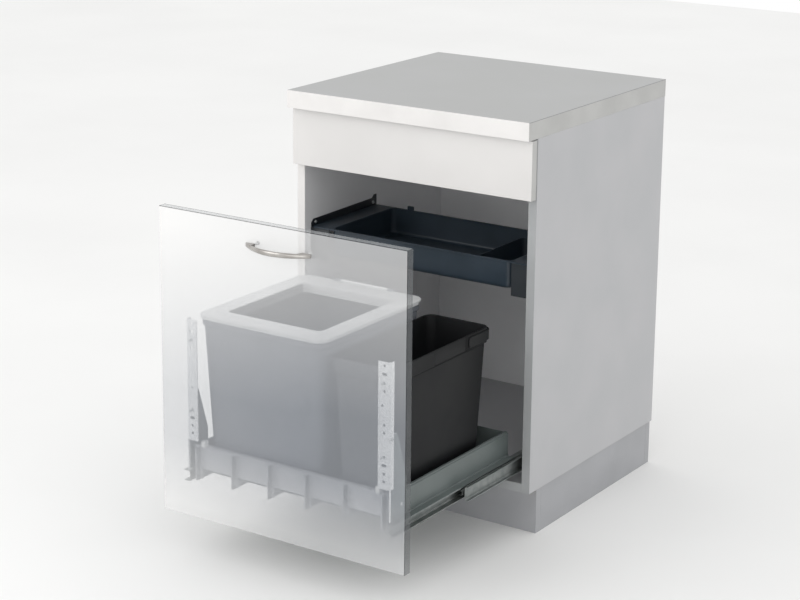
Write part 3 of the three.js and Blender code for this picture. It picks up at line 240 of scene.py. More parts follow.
def acrylic_edge(name, light, dark, alpha):
    """Edge of the acrylic sheet, sawn and polished.
    Gives a glassy line along the sheet, its tone painted darker than the front as shade where given
    dark, and clear where given light with little alpha."""
    made = Finish(name, Roughness=0.25, IOR=1.49, Alpha=alpha)
    made.mottle(60, light, dark)
    return made.material


def satin_nickel():
    """Zinc die-casting, ground and plated with satin nickel.
    Gives a warm silver shine broken by fine grinding lines along the bow."""
    made = Finish("nickel_plated_satin", Metallic=1.0)
    made.mottle(30, "#b8b5b1", "#a19d99")
    lines = made.patches(0.5, coordinates=made.stretched((0.03, 1, 1)))
    made.uneven(lines, 0.22, 0.36)
    made.relief(lines, 0.01, 0.4)
    return made.material


def floor_paint():
    """Matt paint, rolled on the studio's floor. Gives a soft ground with hardly any pattern."""
    made = Finish("studio_floor_matt_paint", Roughness=0.9, Specular_IOR_Level=0.1)
    made.mottle(900, "#f4f4f3", "#f1f1f0")
    return made.material


SHEET_ALPHA = 0.5       # share of the light that the etched front face keeps back
# Board faces: the outer grey is painted shade, as a face turned from the key light looks; the inner
# near white is painted light, lighter than the outer faces, for the bay's missing light.
BOARD_OUT_PAINTED_SHADE = melamine("melamine_board_outer_face_painted_shade", "#bababc", "#b4b5b7")
BOARD_IN_PAINTED_LIGHT = melamine("melamine_board_inner_face_painted_light", "#ededee", "#e8e8e9")
CHIPBOARD = raw_chipboard()
EDGE_WHITE = edging("abs_edge_band_white", "#e8e6e4", "#e1dfdd")
# The grey front band is painted shade: the right side board's and the bottom board's front edges
# are painted darker than the left side board's white band.
FRONT_EDGE_PAINTED_SHADE = edging("abs_edge_band_front_painted_shade", "#a9abac", "#a1a3a4")
# The light grey side band is painted shade: the fascia's ends and the worktop's side bands are
# painted darker than their white fronts.
SIDE_EDGE_PAINTED_SHADE = edging("abs_edge_band_side_painted_shade", "#b9b9b7", "#b0b0ae")
WORKTOP = laminate("laminate_worktop_pressed", "#a5a6a5", "#9d9e9e")
LAMINATE_CORE = laminate_core()
FASCIA = laminate("laminate_front_pressed", "#e2e0de", "#dbd9d7", (0.34, 0.42))
PLINTH = melamine("plinth_board_foil_wrapped", "#a9aaad", "#9fa0a3")
ZINC = zinc_plated("steel_rolled_zinc_plated", "#9a9e9d", "#858a89", 1, (0.4, 0.52))
ZINC_SCREW = zinc_plated("steel_screw_zinc_plated", "#d3d5d5", "#b9bcbc", 2)
BALLS = zinc_plated("steel_ball_ground", "#e2e3e4", "#d2d4d6", 2)
COAT_LIGHT = powder_coat("steel_powder_coated_white", "#f1f2f2", "#eaebec")
COAT_GREY = powder_coat("steel_powder_coated_grey", "#656d6c", "#5d6564")
COAT_DARK = powder_coat("steel_powder_coated_anthracite", "#262b30", "#1f2428", 0.38)
RAIL_PLASTIC = moulded("polypropylene_moulded_light_grey", "#c0c2c5", "#b7b9bd")
# The blades' flanks are painted darker than the rail as shade.
RIB_FLANK_PAINTED_SHADE = moulded("polypropylene_moulded_flank_painted_shade", "#9a9c9f", "#919396")
# The perforated skirt's mid grey is partly its own tone and partly painted shade under the ring's
# border.
SKIRT_GREY_AND_PAINTED_SHADE = moulded("polypropylene_moulded_mid_grey_painted_shade", "#8b8d8f", "#828486")
CLAMP_PLASTIC = moulded("polypropylene_moulded_white_grey", "#dcdddd", "#d3d4d4", 0.4)
BIN_GREY = moulded("polypropylene_moulded_slate", "#80848b", "#787c83", 0.48, 0.3)
# The big bin's inner walls are painted darker than its outside as shade inside the tub.
BIN_INSIDE_PAINTED_SHADE = moulded("polypropylene_moulded_slate_inside_painted_shade", "#55595f", "#4e5258", 0.6, 0.2)
# The small bin's front wall is painted lighter than its black as painted light.
BIN_FRONT_PAINTED_LIGHT = moulded("polypropylene_moulded_black_front_painted_light", "#56585b", "#4f5154", 0.5, 0.3)
BIN_BLACK = moulded("polypropylene_moulded_black", "#191a1c", "#151617", 0.5, 0.2)
TRAY_PLASTIC = moulded("polystyrene_moulded_anthracite", "#303b45", "#29333c", 0.33)
NYLON = moulded("nylon_moulded_white", "#f6f6f4", "#eeeeec", 0.4)
ACRYLIC = cast_acrylic()
# The right edge, the top edge and the arrises are painted dark as shade; the clear edges are not.
ACRYLIC_RIGHT_EDGE_PAINTED_SHADE = acrylic_edge("acrylic_edge_right_painted_shade", "#5a5d60", "#505356", 0.55)
ACRYLIC_TOP_EDGE_PAINTED_SHADE = acrylic_edge("acrylic_edge_top_painted_shade", "#a3a7a9", "#999da0", 0.45)
ACRYLIC_ARRIS_PAINTED_SHADE = acrylic_edge("acrylic_arris_painted_shade", "#3a3d40", "#33363a", 0.75)
ACRYLIC_CLEAR = acrylic_edge("acrylic_edge_polished_clear", "#e8ebec", "#dfe3e5", 0.04)
NICKEL = satin_nickel()
FLOOR = floor_paint()


# ------------------------------------------------------------------ making meshes
def new_object(name, mesh):
    made = bpy.data.objects.new(name, mesh)
    bpy.context.scene.collection.objects.link(made)
    return made


def shade(made, smooth_deg):
    """Shades smoothly, but for edges sharper than the given angle."""
    made.data.shade_smooth()
    made.data.set_sharp_from_angle(angle=math.radians(smooth_deg))


def piece_from(name, vertices, faces, material, smooth_deg=32):
    """A mesh object at the origin, its points given in millimetres."""
    mesh = bpy.data.meshes.new(name)
    mesh.from_pydata([tuple(c * MM for c in v) for v in vertices], [], faces)
    mesh.validate()
    mesh.materials.append(material)
    made = new_object(name, mesh)
    tidy(made, smooth_deg)
    return made


def tidy(made, smooth_deg):
    """Merges doubles, points the faces outwards and shades by angle."""
    work = bmesh.new()
    work.from_mesh(made.data)
    bmesh.ops.remove_doubles(work, verts=work.verts, dist=0.002 * MM)
    bmesh.ops.recalc_face_normals(work, faces=work.faces)
    work.to_mesh(made.data)
    work.free()
    shade(made, smooth_deg)


def place(made, body, *nodes, slot):
    """The piece rides on a body and stands for CAD nodes, which it hides; its slot is not used."""
    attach(made, body)
    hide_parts(*nodes)


def joined(name, parts):
    """One object out of several, keeping their materials."""
    materials = []
    work = bmesh.new()
    for part in parts:
        before = len(work.faces)
        work.from_mesh(part.data)
        work.faces.ensure_lookup_table()
        for face in work.faces[before:]:
            material = part.data.materials[face.material_index]
            if material not in materials:
                materials.append(material)
            face.material_index = materials.index(material)
    mesh = bpy.data.meshes.new(name)
    work.to_mesh(mesh)
    work.free()
    for material in materials:
        mesh.materials.append(material)
    for part in parts:
        bpy.data.objects.remove(part)
    return new_object(name, mesh)


def made_final(made):
    """Turns the evaluated object into a plain mesh and removes its modifiers."""
    graph = bpy.context.evaluated_depsgraph_get()
    mesh = bpy.data.meshes.new_from_object(made.evaluated_get(graph))
    made.modifiers.clear()
    made.data = mesh
    return made


def round_edges(made, width_mm, segments, angle_deg=40):
    """Rounds every edge sharper than the given angle and makes the result final."""
    bevel = made.modifiers.new("rounded edges", "BEVEL")
    bevel.width = width_mm * MM
    bevel.segments = segments
    bevel.limit_method = "ANGLE"
    bevel.angle_limit = math.radians(angle_deg)
    return made_final(made)


def cut_out(made, tool):
    """Cuts one piece out of another; the tool is used up."""
    cut = made.modifiers.new("cut", "BOOLEAN")
    cut.object = tool
    cut.solver = "EXACT"
    made_final(made)
    bpy.data.objects.remove(tool)


def box_piece(name, low, high, material, rounding=0.6, segments=2):
    """A box with rounded edges, between two corners in millimetres."""
    (x0, x1), (y0, y1), (z0, z1) = [sorted(pair) for pair in zip(low, high)]
    corners = [(x, y, z) for x in (x0, x1) for y in (y0, y1) for z in (z0, z1)]
    faces = [(0, 1, 3, 2), (4, 6, 7, 5), (0, 4, 5, 1), (2, 3, 7, 6), (0, 2, 6, 4), (1, 5, 7, 3)]
    made = piece_from(name, corners, faces, material)
    return round_edges(made, rounding, segments)


def rounded_rectangle(half_width, half_depth, radius, steps):
    points = []
    for quarter, (sx, sy) in enumerate(((1, 1), (-1, 1), (-1, -1), (1, -1))):
        for i in range(steps + 1):
            angle = (quarter + i / steps) * math.pi / 2
            points.append((sx * (half_width - radius) + radius * math.cos(angle),
                           sy * (half_depth - radius) + radius * math.sin(angle)))
    return points


def ring_at(centre, half_width, half_depth, radius, z, steps=9):
    """A rounded rectangle around a centre, at a height above it."""
    return [(centre[0] + x, centre[1] + y, centre[2] + z)
            for x, y in rounded_rectangle(half_width, half_depth, radius, steps)]


def skin(name, rings, material, smooth_deg, capped=True):
    """A skin through rings of equal point counts; capped at both ends, or closed into a loop."""
    count = len(rings[0])
    vertices = [point for ring in rings for point in ring]
    faces = []
    for r in range(len(rings) - 1 if capped else len(rings)):
        after = (r + 1) % len(rings)
        for i in range(count):
            j = (i + 1) % count
            faces.append((r * count + i, r * count + j, after * count + j, after * count + i))
    if capped:
        faces.append(tuple(range(count))[::-1])
        faces.append(tuple((len(rings) - 1) * count + i for i in range(count)))
    return piece_from(name, vertices, faces, material, smooth_deg)


def corner_arc(before, corner, after, radius, steps, limit):
    """Where a corner's rounding leaves its two sides, the sides' directions, and the arc.
    The rounding uses up no more than 1/limit of either side. Slerp gives unit vectors, so the
    arc has a radius of 1 mm about the rounding's centre."""
    u, v = (before - corner).normalized(), (after - corner).normalized()
    half = u.angle(v) / 2
    room = min((before - corner).length, (after - corner).length) / limit
    reach = min(radius / math.tan(half), room)
    centre = corner + (u + v).normalized() * (reach / math.cos(half))
    start, end = corner + u * reach - centre, corner + v * reach - centre
    arc = [centre + start.slerp(end, i / steps) for i in range(steps + 1)]
    return centre + start, centre + end, u, v, arc


def extruded(name, section, axis, low, high, material):
    """A section of (a, b) points, pushed along an axis from low to high."""
    point_at = {"x": lambda p, d: (d, p.x, p.y), "y": lambda p, d: (p.x, d, p.y),
                "z": lambda p, d: (p.x, p.y, d)}[axis]
    return skin(name, [[point_at(p, d) for p in section] for d in (low, high)], material, 40)


def bent_sheet(name, path, thickness, radius, low, high, axis, material, steps=4):
    """Sheet metal folded along a path of (a, b) points and pushed along an axis from low to high.
    The path is the sheet's middle line; at each bend it steps in to a tight arc."""
    line = [Vector(p) for p in path]
    rounded = [line[0]]
    flat_edge = 0.3      # a narrow face beside each bend, where the shading of the bend ends
    for before, corner, after in zip(line, line[1:], line[2:]):
        start, end, u, v, arc = corner_arc(before, corner, after, radius, steps, 2)
        rounded += [start + u * flat_edge, *arc, end + v * flat_edge]
    rounded.append(line[-1])
    left, right = [], []
    for i, point in enumerate(rounded):
        tangents = []
        if i:
            tangents.append((point - rounded[i - 1]).normalized())
        if i < len(rounded) - 1:
            tangents.append((rounded[i + 1] - point).normalized())
        along_path = sum(tangents, Vector((0, 0))).normalized()
        normal = Vector((-along_path.y, along_path.x)) * thickness / 2
        left.append(point + normal)
        right.append(point - normal)
    made = extruded(name, left + right[::-1], axis, low, high, material)
    return round_edges(made, min(0.35, thickness * 0.3), 1, 60)


def plate(name, outline, axis, low, high, material, corner=3.0, rounding=0.3):
    """A flat plate of the given outline, (y, z) across X or (x, z) across Y, its corners cut."""
    line = [Vector(p) for p in outline]
    section = []
    for before, point, after in zip(line[-1:] + line, line, line[1:] + line[:1]):
        section += corner_arc(before, point, after, corner, 5, 2.1)[-1]
    return round_edges(extruded(name, section, axis, low, high, material), rounding, 1, 60)


def lathe(name, profile, material, sides=24):
    """Turns a profile of (radius, height) about Z; it starts and ends on the axis."""
    rings = []
    for radius, height in profile:
        reach = max(radius, 0.001)
        rings.append([(reach * math.cos(k / sides * 2 * math.pi),
                       reach * math.sin(k / sides * 2 * math.pi), height) for k in range(sides)])
    return skin(name, rings, material, 40)


def peg(name, radius, length, material, sides, chamfer=0.0):
    """A round bar that stands on z = 0, its ends chamfered."""
    profile = [(0, 0), (radius - chamfer, 0), (radius, chamfer), (radius, length - chamfer),
               (radius - chamfer, length), (0, length)]
    return lathe(name, profile, material, sides)


def along(made, direction, centre):
    """Turns a piece made about Z to point along a direction, and moves it to a centre."""
    turn = Vector(direction).to_track_quat("Z", "Y").to_matrix().to_4x4()
    made.data.transform(Matrix.Translation(Vector(centre) * MM) @ turn)
    return made


def painted(made, choose):
    """Gives each face the material that choose(normal, centre in millimetres) names."""
    made.data.materials.clear()
    for face in made.data.polygons:
        material = choose(face.normal, face.center / MM)
        if made.data.materials.find(material.name) < 0:
            made.data.materials.append(material)
        face.material_index = made.data.materials.find(material.name)
    return made


def node_box(name):
    """A CAD node's corners in millimetres."""
    low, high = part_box(name)
    return [c / MM for c in low], [c / MM for c in high]


def node_middle(name):
    """The middle of a CAD node's box in millimetres."""
    return [(a + b) / 2 for a, b in zip(*node_box(name))]


# ------------------------------------------------------------------ Geometry Nodes
def new_tree(name, **inputs):
    """A geometry tree with named inputs, each given with its kind of socket."""
    tree = bpy.data.node_groups.new(name, "GeometryNodeTree")
    for label, kind in {"Geometry": "Geometry", **inputs}.items():
        tree.interface.new_socket(label, in_out="INPUT", socket_type="NodeSocket" + kind)
    tree.interface.new_socket("Geometry", in_out="OUTPUT", socket_type="NodeSocketGeometry")
    return tree, add_node(tree, "NodeGroupInput").outputs


def end_tree(tree, geometry, material):
    """Every tree ends in Realize Instances and Set Material."""
    real = add_node(tree, "GeometryNodeRealizeInstances", {"Geometry": geometry})
    coated = add_node(tree, "GeometryNodeSetMaterial", {
        "Geometry": real.outputs["Geometry"], "Material": material})
    add_node(tree, "NodeGroupOutput", {"Geometry": coated.outputs["Geometry"]})


def facing_turn(tree):
    """The turn that points Z along each point's own direction."""
    facing = add_node(tree, "GeometryNodeInputNamedAttribute", {"Name": "facing"},
                      data_type="FLOAT_VECTOR")
    upright = add_node(tree, "FunctionNodeAlignRotationToVector", {
        "Vector": facing.outputs["Attribute"]}, axis="Z")
    return upright.outputs["Rotation"]


def set_on_points(tree, points, shape, **turn):
    made = add_node(tree, "GeometryNodeInstanceOnPoints", {
        "Points": points, "Instance": shape, **turn})
    return made.outputs["Instances"]


def place_on_points():
    """Sets one copy of a shape on every point, its Z axis along the point's own direction."""
    tree, given = new_tree("copies_on_points", Shape="Object", Turn="Float", Seed="Int",
                           Finish="Material")
    shape = add_node(tree, "GeometryNodeObjectInfo", {"Object": given["Shape"]})
    spin = add_node(tree, "FunctionNodeRandomValue", {"Seed": given["Seed"]}, data_type="FLOAT")
    angle = add_node(tree, "ShaderNodeMath", {
        0: spin.outputs[1], 1: given["Turn"]}, operation="MULTIPLY")
    about = add_node(tree, "ShaderNodeCombineXYZ", {"Z": angle.outputs[0]})
    turn = add_node(tree, "FunctionNodeRotateRotation", {
        "Rotation": facing_turn(tree), "Rotate By": about.outputs["Vector"]},
        rotation_space="LOCAL")
    made = set_on_points(tree, given["Geometry"], shape.outputs["Geometry"],
                         Rotation=turn.outputs["Rotation"])
    end_tree(tree, made, given["Finish"])
    return tree


def punch():
    """Cuts a round hole through a sheet at every point of the object named Holes."""
    tree, given = new_tree("round_holes_at_points", Holes="Object", Radius="Float",
                           Depth="Float", Sides="Int", Finish="Material")
    points = add_node(tree, "GeometryNodeObjectInfo", {"Object": given["Holes"]})
    bar = add_node(tree, "GeometryNodeMeshCylinder", {
        "Vertices": given["Sides"], "Radius": given["Radius"], "Depth": given["Depth"]})
    bars = set_on_points(tree, points.outputs["Geometry"], bar.outputs["Mesh"],
                         Rotation=facing_turn(tree))
    tools = add_node(tree, "GeometryNodeRealizeInstances", {"Geometry": bars})
    holed = add_node(tree, "GeometryNodeMeshBoolean", {
        "Mesh 1": given["Geometry"], "Mesh 2": tools.outputs["Geometry"],
        "Self Intersection": True}, operation="DIFFERENCE", solver="EXACT")
    end_tree(tree, holed.outputs["Mesh"], given["Finish"])
    return tree


def row_of():
    """Sets copies of a shape along a line at a fixed step."""
    tree, given = new_tree("row_at_a_fixed_step", Shape="Object", Count="Int", Start="Vector",
                           Step="Vector", Finish="Material")
    shape = add_node(tree, "GeometryNodeObjectInfo", {"Object": given["Shape"]})
    line = add_node(tree, "GeometryNodeMeshLine", {
        "Count": given["Count"], "Start Location": given["Start"], "Offset": given["Step"]})
    made = set_on_points(tree, line.outputs["Mesh"], shape.outputs["Geometry"])
    end_tree(tree, made, given["Finish"])
    return tree


COPIES = place_on_points()
PUNCH = punch()
ROW = row_of()


def run_tree(made, tree, **values):
    """Runs a tree on an object, its inputs set by their identifiers, and keeps the plain mesh."""
    modifier = made.modifiers.new(tree.name, "NODES")
    modifier.node_group = tree
    for socket in tree.interface.items_tree:
        if socket.in_out == "INPUT" and socket.name in values:
            modifier[socket.identifier] = values[socket.name]
    return made_final(made)


def points_object(name, points_mm, directions):
    """Loose points in millimetres that carry a direction each."""
    mesh = bpy.data.meshes.new(name)
    mesh.from_pydata([tuple(c * MM for c in p) for p in points_mm], [], [])
    facing = mesh.attributes.new("facing", "FLOAT_VECTOR", "POINT")
    for i, direction in enumerate(directions):
        facing.data[i].vector = direction
    return new_object(name, mesh)


def copies(name, shape, spots, material, turn=0.0, seed=3):
    """Copies of a shape at spots, each a point in millimetres and a direction."""
    made = points_object(name, *zip(*spots))
    run_tree(made, COPIES, Shape=shape, Turn=turn, Seed=seed, Finish=material)
    tidy(made, 40)
    return made


def row(name, shape, count, start_mm, step_mm, material):
    """A row of copies of a shape, which is used up."""
    made = points_object(name, [(0, 0, 0)], [(0, 0, 1)])
    run_tree(made, ROW, Shape=shape, Count=count, Start=tuple(c * MM for c in start_mm),
             Step=tuple(c * MM for c in step_mm), Finish=material)
    bpy.data.objects.remove(shape)
    tidy(made, 40)
    return made


def punched(made, points_mm, direction, radius_mm, depth_mm, material, sides=20):
    """Cuts round holes through a piece, all in one direction."""
    tools = points_object("hole centres", points_mm, [direction] * len(points_mm))
    run_tree(made, PUNCH, Holes=tools, Radius=radius_mm * MM, Depth=depth_mm * MM, Sides=sides,
             Finish=material)
    bpy.data.objects.remove(tools)
    shade(made, 32)
    return made


# ------------------------------------------------------------------ carcass
EDGE_BAND = 1.0          # millimetres of ABS on a board's visible edges
WORKTOP_BAND = 1.3
WORKTOP_DECOR = 0.9


def banded_board(name, node, outer_axis, front_band):
    """A chipboard with decor faces, sawn edges and, glued on in front, an edge band."""
    low, high = node_box(node)
    seam = low[1] + EDGE_BAND
    core = box_piece(name + " core", (low[0], seam, low[2]), high, BOARD_OUT_PAINTED_SHADE, 0.3, 1)

    def face_finish(normal, centre):
        if abs(normal[outer_axis]) < 0.7:
            return CHIPBOARD
        # Inner faces take the painted light, outer faces the painted shade.
        inner = normal[outer_axis] * (low[outer_axis] + high[outer_axis]) < 0
        return BOARD_IN_PAINTED_LIGHT if inner else BOARD_OUT_PAINTED_SHADE
    painted(core, face_finish)
    band = box_piece(name + " band", low, (high[0], seam, high[2]), front_band, 0.45, 2)
    place(joined(name, [core, band]), "cabinet", node, slot="coated_board")


def make_carcass():
    # The right side board's front band is painted grey as shade; the left one is white.
    for side, band in (("left", EDGE_WHITE), ("right", FRONT_EDGE_PAINTED_SHADE)):
        banded_board(f"side_board_{side}", f"side_panel_{side}", 0, band)
    banded_board("bottom_board", "bottom_panel", 2, FRONT_EDGE_PAINTED_SHADE)

    # The back's inner face takes the painted light, its outer face the painted shade.
    back = painted(box_piece("back_board", *node_box("back_panel"), BOARD_IN_PAINTED_LIGHT, 0.3, 1),
                   lambda normal, centre: (BOARD_IN_PAINTED_LIGHT if normal.y < -0.7 else
                                           BOARD_OUT_PAINTED_SHADE if normal.y > 0.7 else CHIPBOARD))
    place(back, "cabinet", "back_panel", slot="coated_board")
    for node in ("top_rail_front", "top_rail_back"):
        banded_board(node + "_board", node, 2, EDGE_WHITE)

    # The fascia's end faces are painted light grey as shade.
    fascia = painted(box_piece("fascia_board", *node_box("fascia_panel"), FASCIA, 0.9, 3),
                     lambda normal, centre: SIDE_EDGE_PAINTED_SHADE if abs(normal.x) > 0.7 else FASCIA)
    place(fascia, "cabinet", "fascia_panel", slot="white_front")

    make_worktop()
    for node in ("plinth_front", "plinth_back", "plinth_side_left", "plinth_side_right",
                 "plinth_centre_rail"):
        made = box_piece(node + "_board", *node_box(node), PLINTH, 0.5, 2)
        place(made, "cabinet", node, slot="plinth_board")


def make_worktop():
    """The slab under its laminate, with a white band in front and side bands painted light grey as
    shade.
    """
    (x0, y0, z0), (x1, y1, z1) = node_box("worktop")
    left, right, front = x0 + WORKTOP_BAND, x1 - WORKTOP_BAND, y0 + WORKTOP_BAND
    seam = z1 - WORKTOP_DECOR
    core = painted(box_piece("worktop core", (left, front, z0), (right, y1, seam), PLINTH, 0.1, 1),
                   lambda normal, centre: CHIPBOARD if normal.y > 0.7 else PLINTH)
    top = painted(box_piece("worktop laminate", (x0, front, seam), (x1, y1, z1), WORKTOP, 0.15, 1),
                  lambda normal, centre: WORKTOP if normal.z > 0.3 else LAMINATE_CORE)
    # The side bands are painted light grey as shade; the front band is white.
    bands = [
        box_piece("front band", (x0, y0, z0), (x1, front, z1), EDGE_WHITE, 0.6, 3),
        box_piece("left band", (x0, front, z0), (left, y1, seam), SIDE_EDGE_PAINTED_SHADE, 0.2, 2),
        box_piece("right band", (right, front, z0), (x1, y1, seam), SIDE_EDGE_PAINTED_SHADE, 0.2, 2),
    ]
    place(joined("worktop_slab", [core, top, *bands]), "cabinet", "worktop",
          slot="laminate_worktop")


# ------------------------------------------------------------------ runners
RUNNER_Z = 161.0         # height of the runners' middle line
BAY_HALF = 281.0         # from the unit's middle to a side panel
RUNNER_SHEET, CAGE_SHEET = 1.5, 1.2
STUDS, STUD_INSET = 8, 25.0
BALL_RADIUS, BALLS_IN_A_ROW = 2.2, 12
# Each C section: how far its web and its lips stand from the side panel, and half its height.
SECTIONS = {
    "cabinet channel": (0, 14, 22), "middle outer": (14.5, 5, 15.5),
    "middle inner": (19, 27, 6.2), "drawer channel": (35, 19, 12),
    "outer cage": (2.1, 12, 18.6), "inner cage": (32.9, 21, 8.95),
}
# Each cage's balls: their distance from the side panel and from the runners' middle line.
BALL_ROWS = {"outer": (7.75, 18.0), "inner": (27.0, 8.35)}


def run_of(node):
    """Where a CAD node starts and ends along Y, in millimetres."""
    low, high = node_box(node)
    return low[1], high[1]


def channel_piece(section, sign, y0, y1, thickness=RUNNER_SHEET, material=ZINC):
    """A rolled C section on one side of the unit, open towards its lips."""
    web, lip, half = SECTIONS[section]
    middle = web + math.copysign(thickness / 2, lip - web)
    reach = half - thickness / 2
    path = [(sign * (BAY_HALF - d), RUNNER_Z + h)
            for d, h in ((lip, -reach), (middle, -reach), (middle, reach), (lip, reach))]
    return bent_sheet(section, path, thickness, 1.8, y0, y1, "y", material)


def make_runners():
    cabinet_parts, middle_parts, drawer_parts = [], [], []
    for side, sign in SIDES:
        y0, y1 = run_of(f"runner_cabinet_{side}")
        outer = channel_piece("cabinet channel", sign, y0, y1)
        screw_holes = [(sign * (BAY_HALF - 1), y, RUNNER_Z)
                       for pair in (y0 + 40, y0 + 232, y1 - 46) for y in (pair, pair + 6)]
        cabinet_parts.append(punched(outer, screw_holes, (1, 0, 0), 2.6, 8, ZINC))

        y0, y1 = run_of(f"runner_middle_{side}")
        for section in ("middle outer", "middle inner"):
            middle_parts.append(channel_piece(section, sign, y0, y1))
        stud = along(peg("stud", 3.6, 5, ZINC, 16), (-sign, 0, 0),
                     (sign * (BAY_HALF - 14.3), 0, RUNNER_Z))
        step = (y1 - y0 - 2 * STUD_INSET) / (STUDS - 1)
        middle_parts.append(row("studs", stud, STUDS, (0, y0 + STUD_INSET, 0), (0, step, 0), ZINC))

        drawer_parts.append(channel_piece("drawer channel", sign, *run_of(f"runner_drawer_{side}")))
    for node, parts, body in (("runner_cabinet", cabinet_parts, "cabinet"),
                              ("runner_middle", middle_parts, "runner_middle"),
                              ("runner_drawer", drawer_parts, "pullout")):
        made = joined(node + "_members", parts)
        place(made, body, f"{node}_left", f"{node}_right", slot="zinc_steel")


def make_cages():
    """White nylon strips with ground steel balls, between the members of the runners."""
    ball = lathe("ball", [(BALL_RADIUS * math.sin(a / 8 * math.pi),
                           -BALL_RADIUS * math.cos(a / 8 * math.pi)) for a in range(9)], BALLS, 12)
    for name, (from_panel, from_middle) in BALL_ROWS.items():
        parts, spots = [], []
        for side, sign in SIDES:
            y0, y1 = run_of(f"{name}_ball_cage_{side}")
            parts.append(channel_piece(f"{name} cage", sign, y0, y1, CAGE_SHEET, NYLON))
            for i in range(BALLS_IN_A_ROW):
                y = y0 + (y1 - y0) * (i + 0.5) / BALLS_IN_A_ROW
                for up in (-1, 1):
                    at = (sign * (BAY_HALF - from_panel), y, RUNNER_Z + up * from_middle)
                    spots.append((at, (0, 0, 1)))
        parts.append(copies("balls", ball, spots, BALLS))
        made = joined(f"{name}_cages_with_balls", parts)
        place(made, f"{name}_cages", f"{name}_ball_cage_left", f"{name}_ball_cage_right",
              slot="white_nylon")
    bpy.data.objects.remove(ball)


# ------------------------------------------------------------------ the tubs' sizes
TAPER = 0.048            # lean of each wall per unit of height
WALL = 2.5
PROUD = 2.5              # band in front of the wall
RIDGE_GAP = 4.0
RIDGE_WIDTH = 4.0


def tub_size(node, rim_height, back_overhang, corner):
    """A bin's foot centre, half width and half depth at the rim, height and corner radius."""
    (x0, y0, z0), (x1, y1, _) = node_box(node)
    y1 -= back_overhang
    return ((x0 + x1) / 2, (y0 + y1) / 2, z0), (x1 - x0) / 2, (y1 - y0) / 2, rim_height, corner


LARGE_TUB = tub_size("large_bin", 327.0, 12.5, 26.0)
SMALL_TUB = tub_size("small_bin", 300.0, 0.0, 21.0)


# ------------------------------------------------------------------ pull-out frame
FRAME_SHEET, FRAME_BEND = 2, 2.6
RIBS, OUTER_RIB = 6, 230.0       # the front rail's blades, and how far out the outer ones stand
BLADE = 1.3                      # half a blade's thickness


def make_frame():
    half = FRAME_SHEET / 2
    for side, sign in SIDES:
        (_, y0, z0), (_, y1, z1) = node_box(f"side_rail_{side}")
        path = [(sign * x, z) for x, z in (
            (262, z0 + half), (244.5, z0 + half), (244.5, z1 - half), (237.5, z1 - half))]
        made = bent_sheet(f"side_rail_sheet_{side}", path, FRAME_SHEET, FRAME_BEND, y0, y1, "y",
                          COAT_GREY)
        place(made, "pullout", f"side_rail_{side}", slot="coated_steel")

    (x0, y0, z0), (x1, y1, z1) = node_box("back_rail")
    path = [(y0, z0 + half), (y1 - half, z0 + half), (y1 - half, z1)]
    made = bent_sheet("back_rail_sheet", path, FRAME_SHEET, FRAME_BEND, x0, x1, "x", COAT_GREY)
    place(made, "pullout", "back_rail", slot="coated_steel")

    (x0, y0, z0), (x1, y1, z1) = node_box("floor_plate")
    top = z0 + FRAME_SHEET
    parts = [box_piece("floor sheet", (x0, y0, z0), (x1, y1, top), COAT_GREY, 0.4, 1)]
    for (x, y, _), half_width, half_depth, height, corner in (LARGE_TUB, SMALL_TUB):
        shrink = PROUD + height * TAPER
        reach = half_width - shrink - corner
        foot = half_depth - shrink + RIDGE_GAP
        for near in (y - foot - RIDGE_WIDTH, y + foot):
            parts.append(box_piece("ridge", (x - reach, near, top - 1),
                                   (x + reach, near + RIDGE_WIDTH, z1), COAT_GREY, 1.6, 3))
    place(joined("floor_sheet", parts), "pullout", "floor_plate", slot="coated_steel")
    make_front_rail()


def blade_sections(front, back, low, top, plate_back, floor_bottom):
    """A blade from its nose to its heel as (y, lower z, upper z, half thickness).
    It is rounded at its toe, flares into the plate and runs out in a curve under the floor."""
    toe, heel_curve = 4.0, 26.0
    sections = []
    for depth, half in ((0.0, 0.5), (0.35, 1.1), (1.2, BLADE), (2.5, BLADE), (toe, BLADE),
                        (10, BLADE), (13.6, 1.45), (14.6, 1.9), (15.4, 2.7), (16.0, 4.0),
                        (18.9, 4.0)):
        under = toe - min(depth, toe)
        bottom = low + toe - math.sqrt(max(toe * toe - under * under, 0.0))
        sections.append((front + depth, bottom, top - 3 + 1.5 * min(depth / 16, 1), half))
    level_end, under_floor = back - heel_curve, floor_bottom - 0.05
    sections += [(y, low, under_floor, BLADE) for y in (plate_back, level_end)]
    for i in range(1, 9):
        share = i / 8
        bottom = low + (floor_bottom - low) * share * share
        sections.append((level_end + heel_curve * share, min(bottom, floor_bottom - 0.4),
                         under_floor, BLADE - 0.5 * share))
    return sections


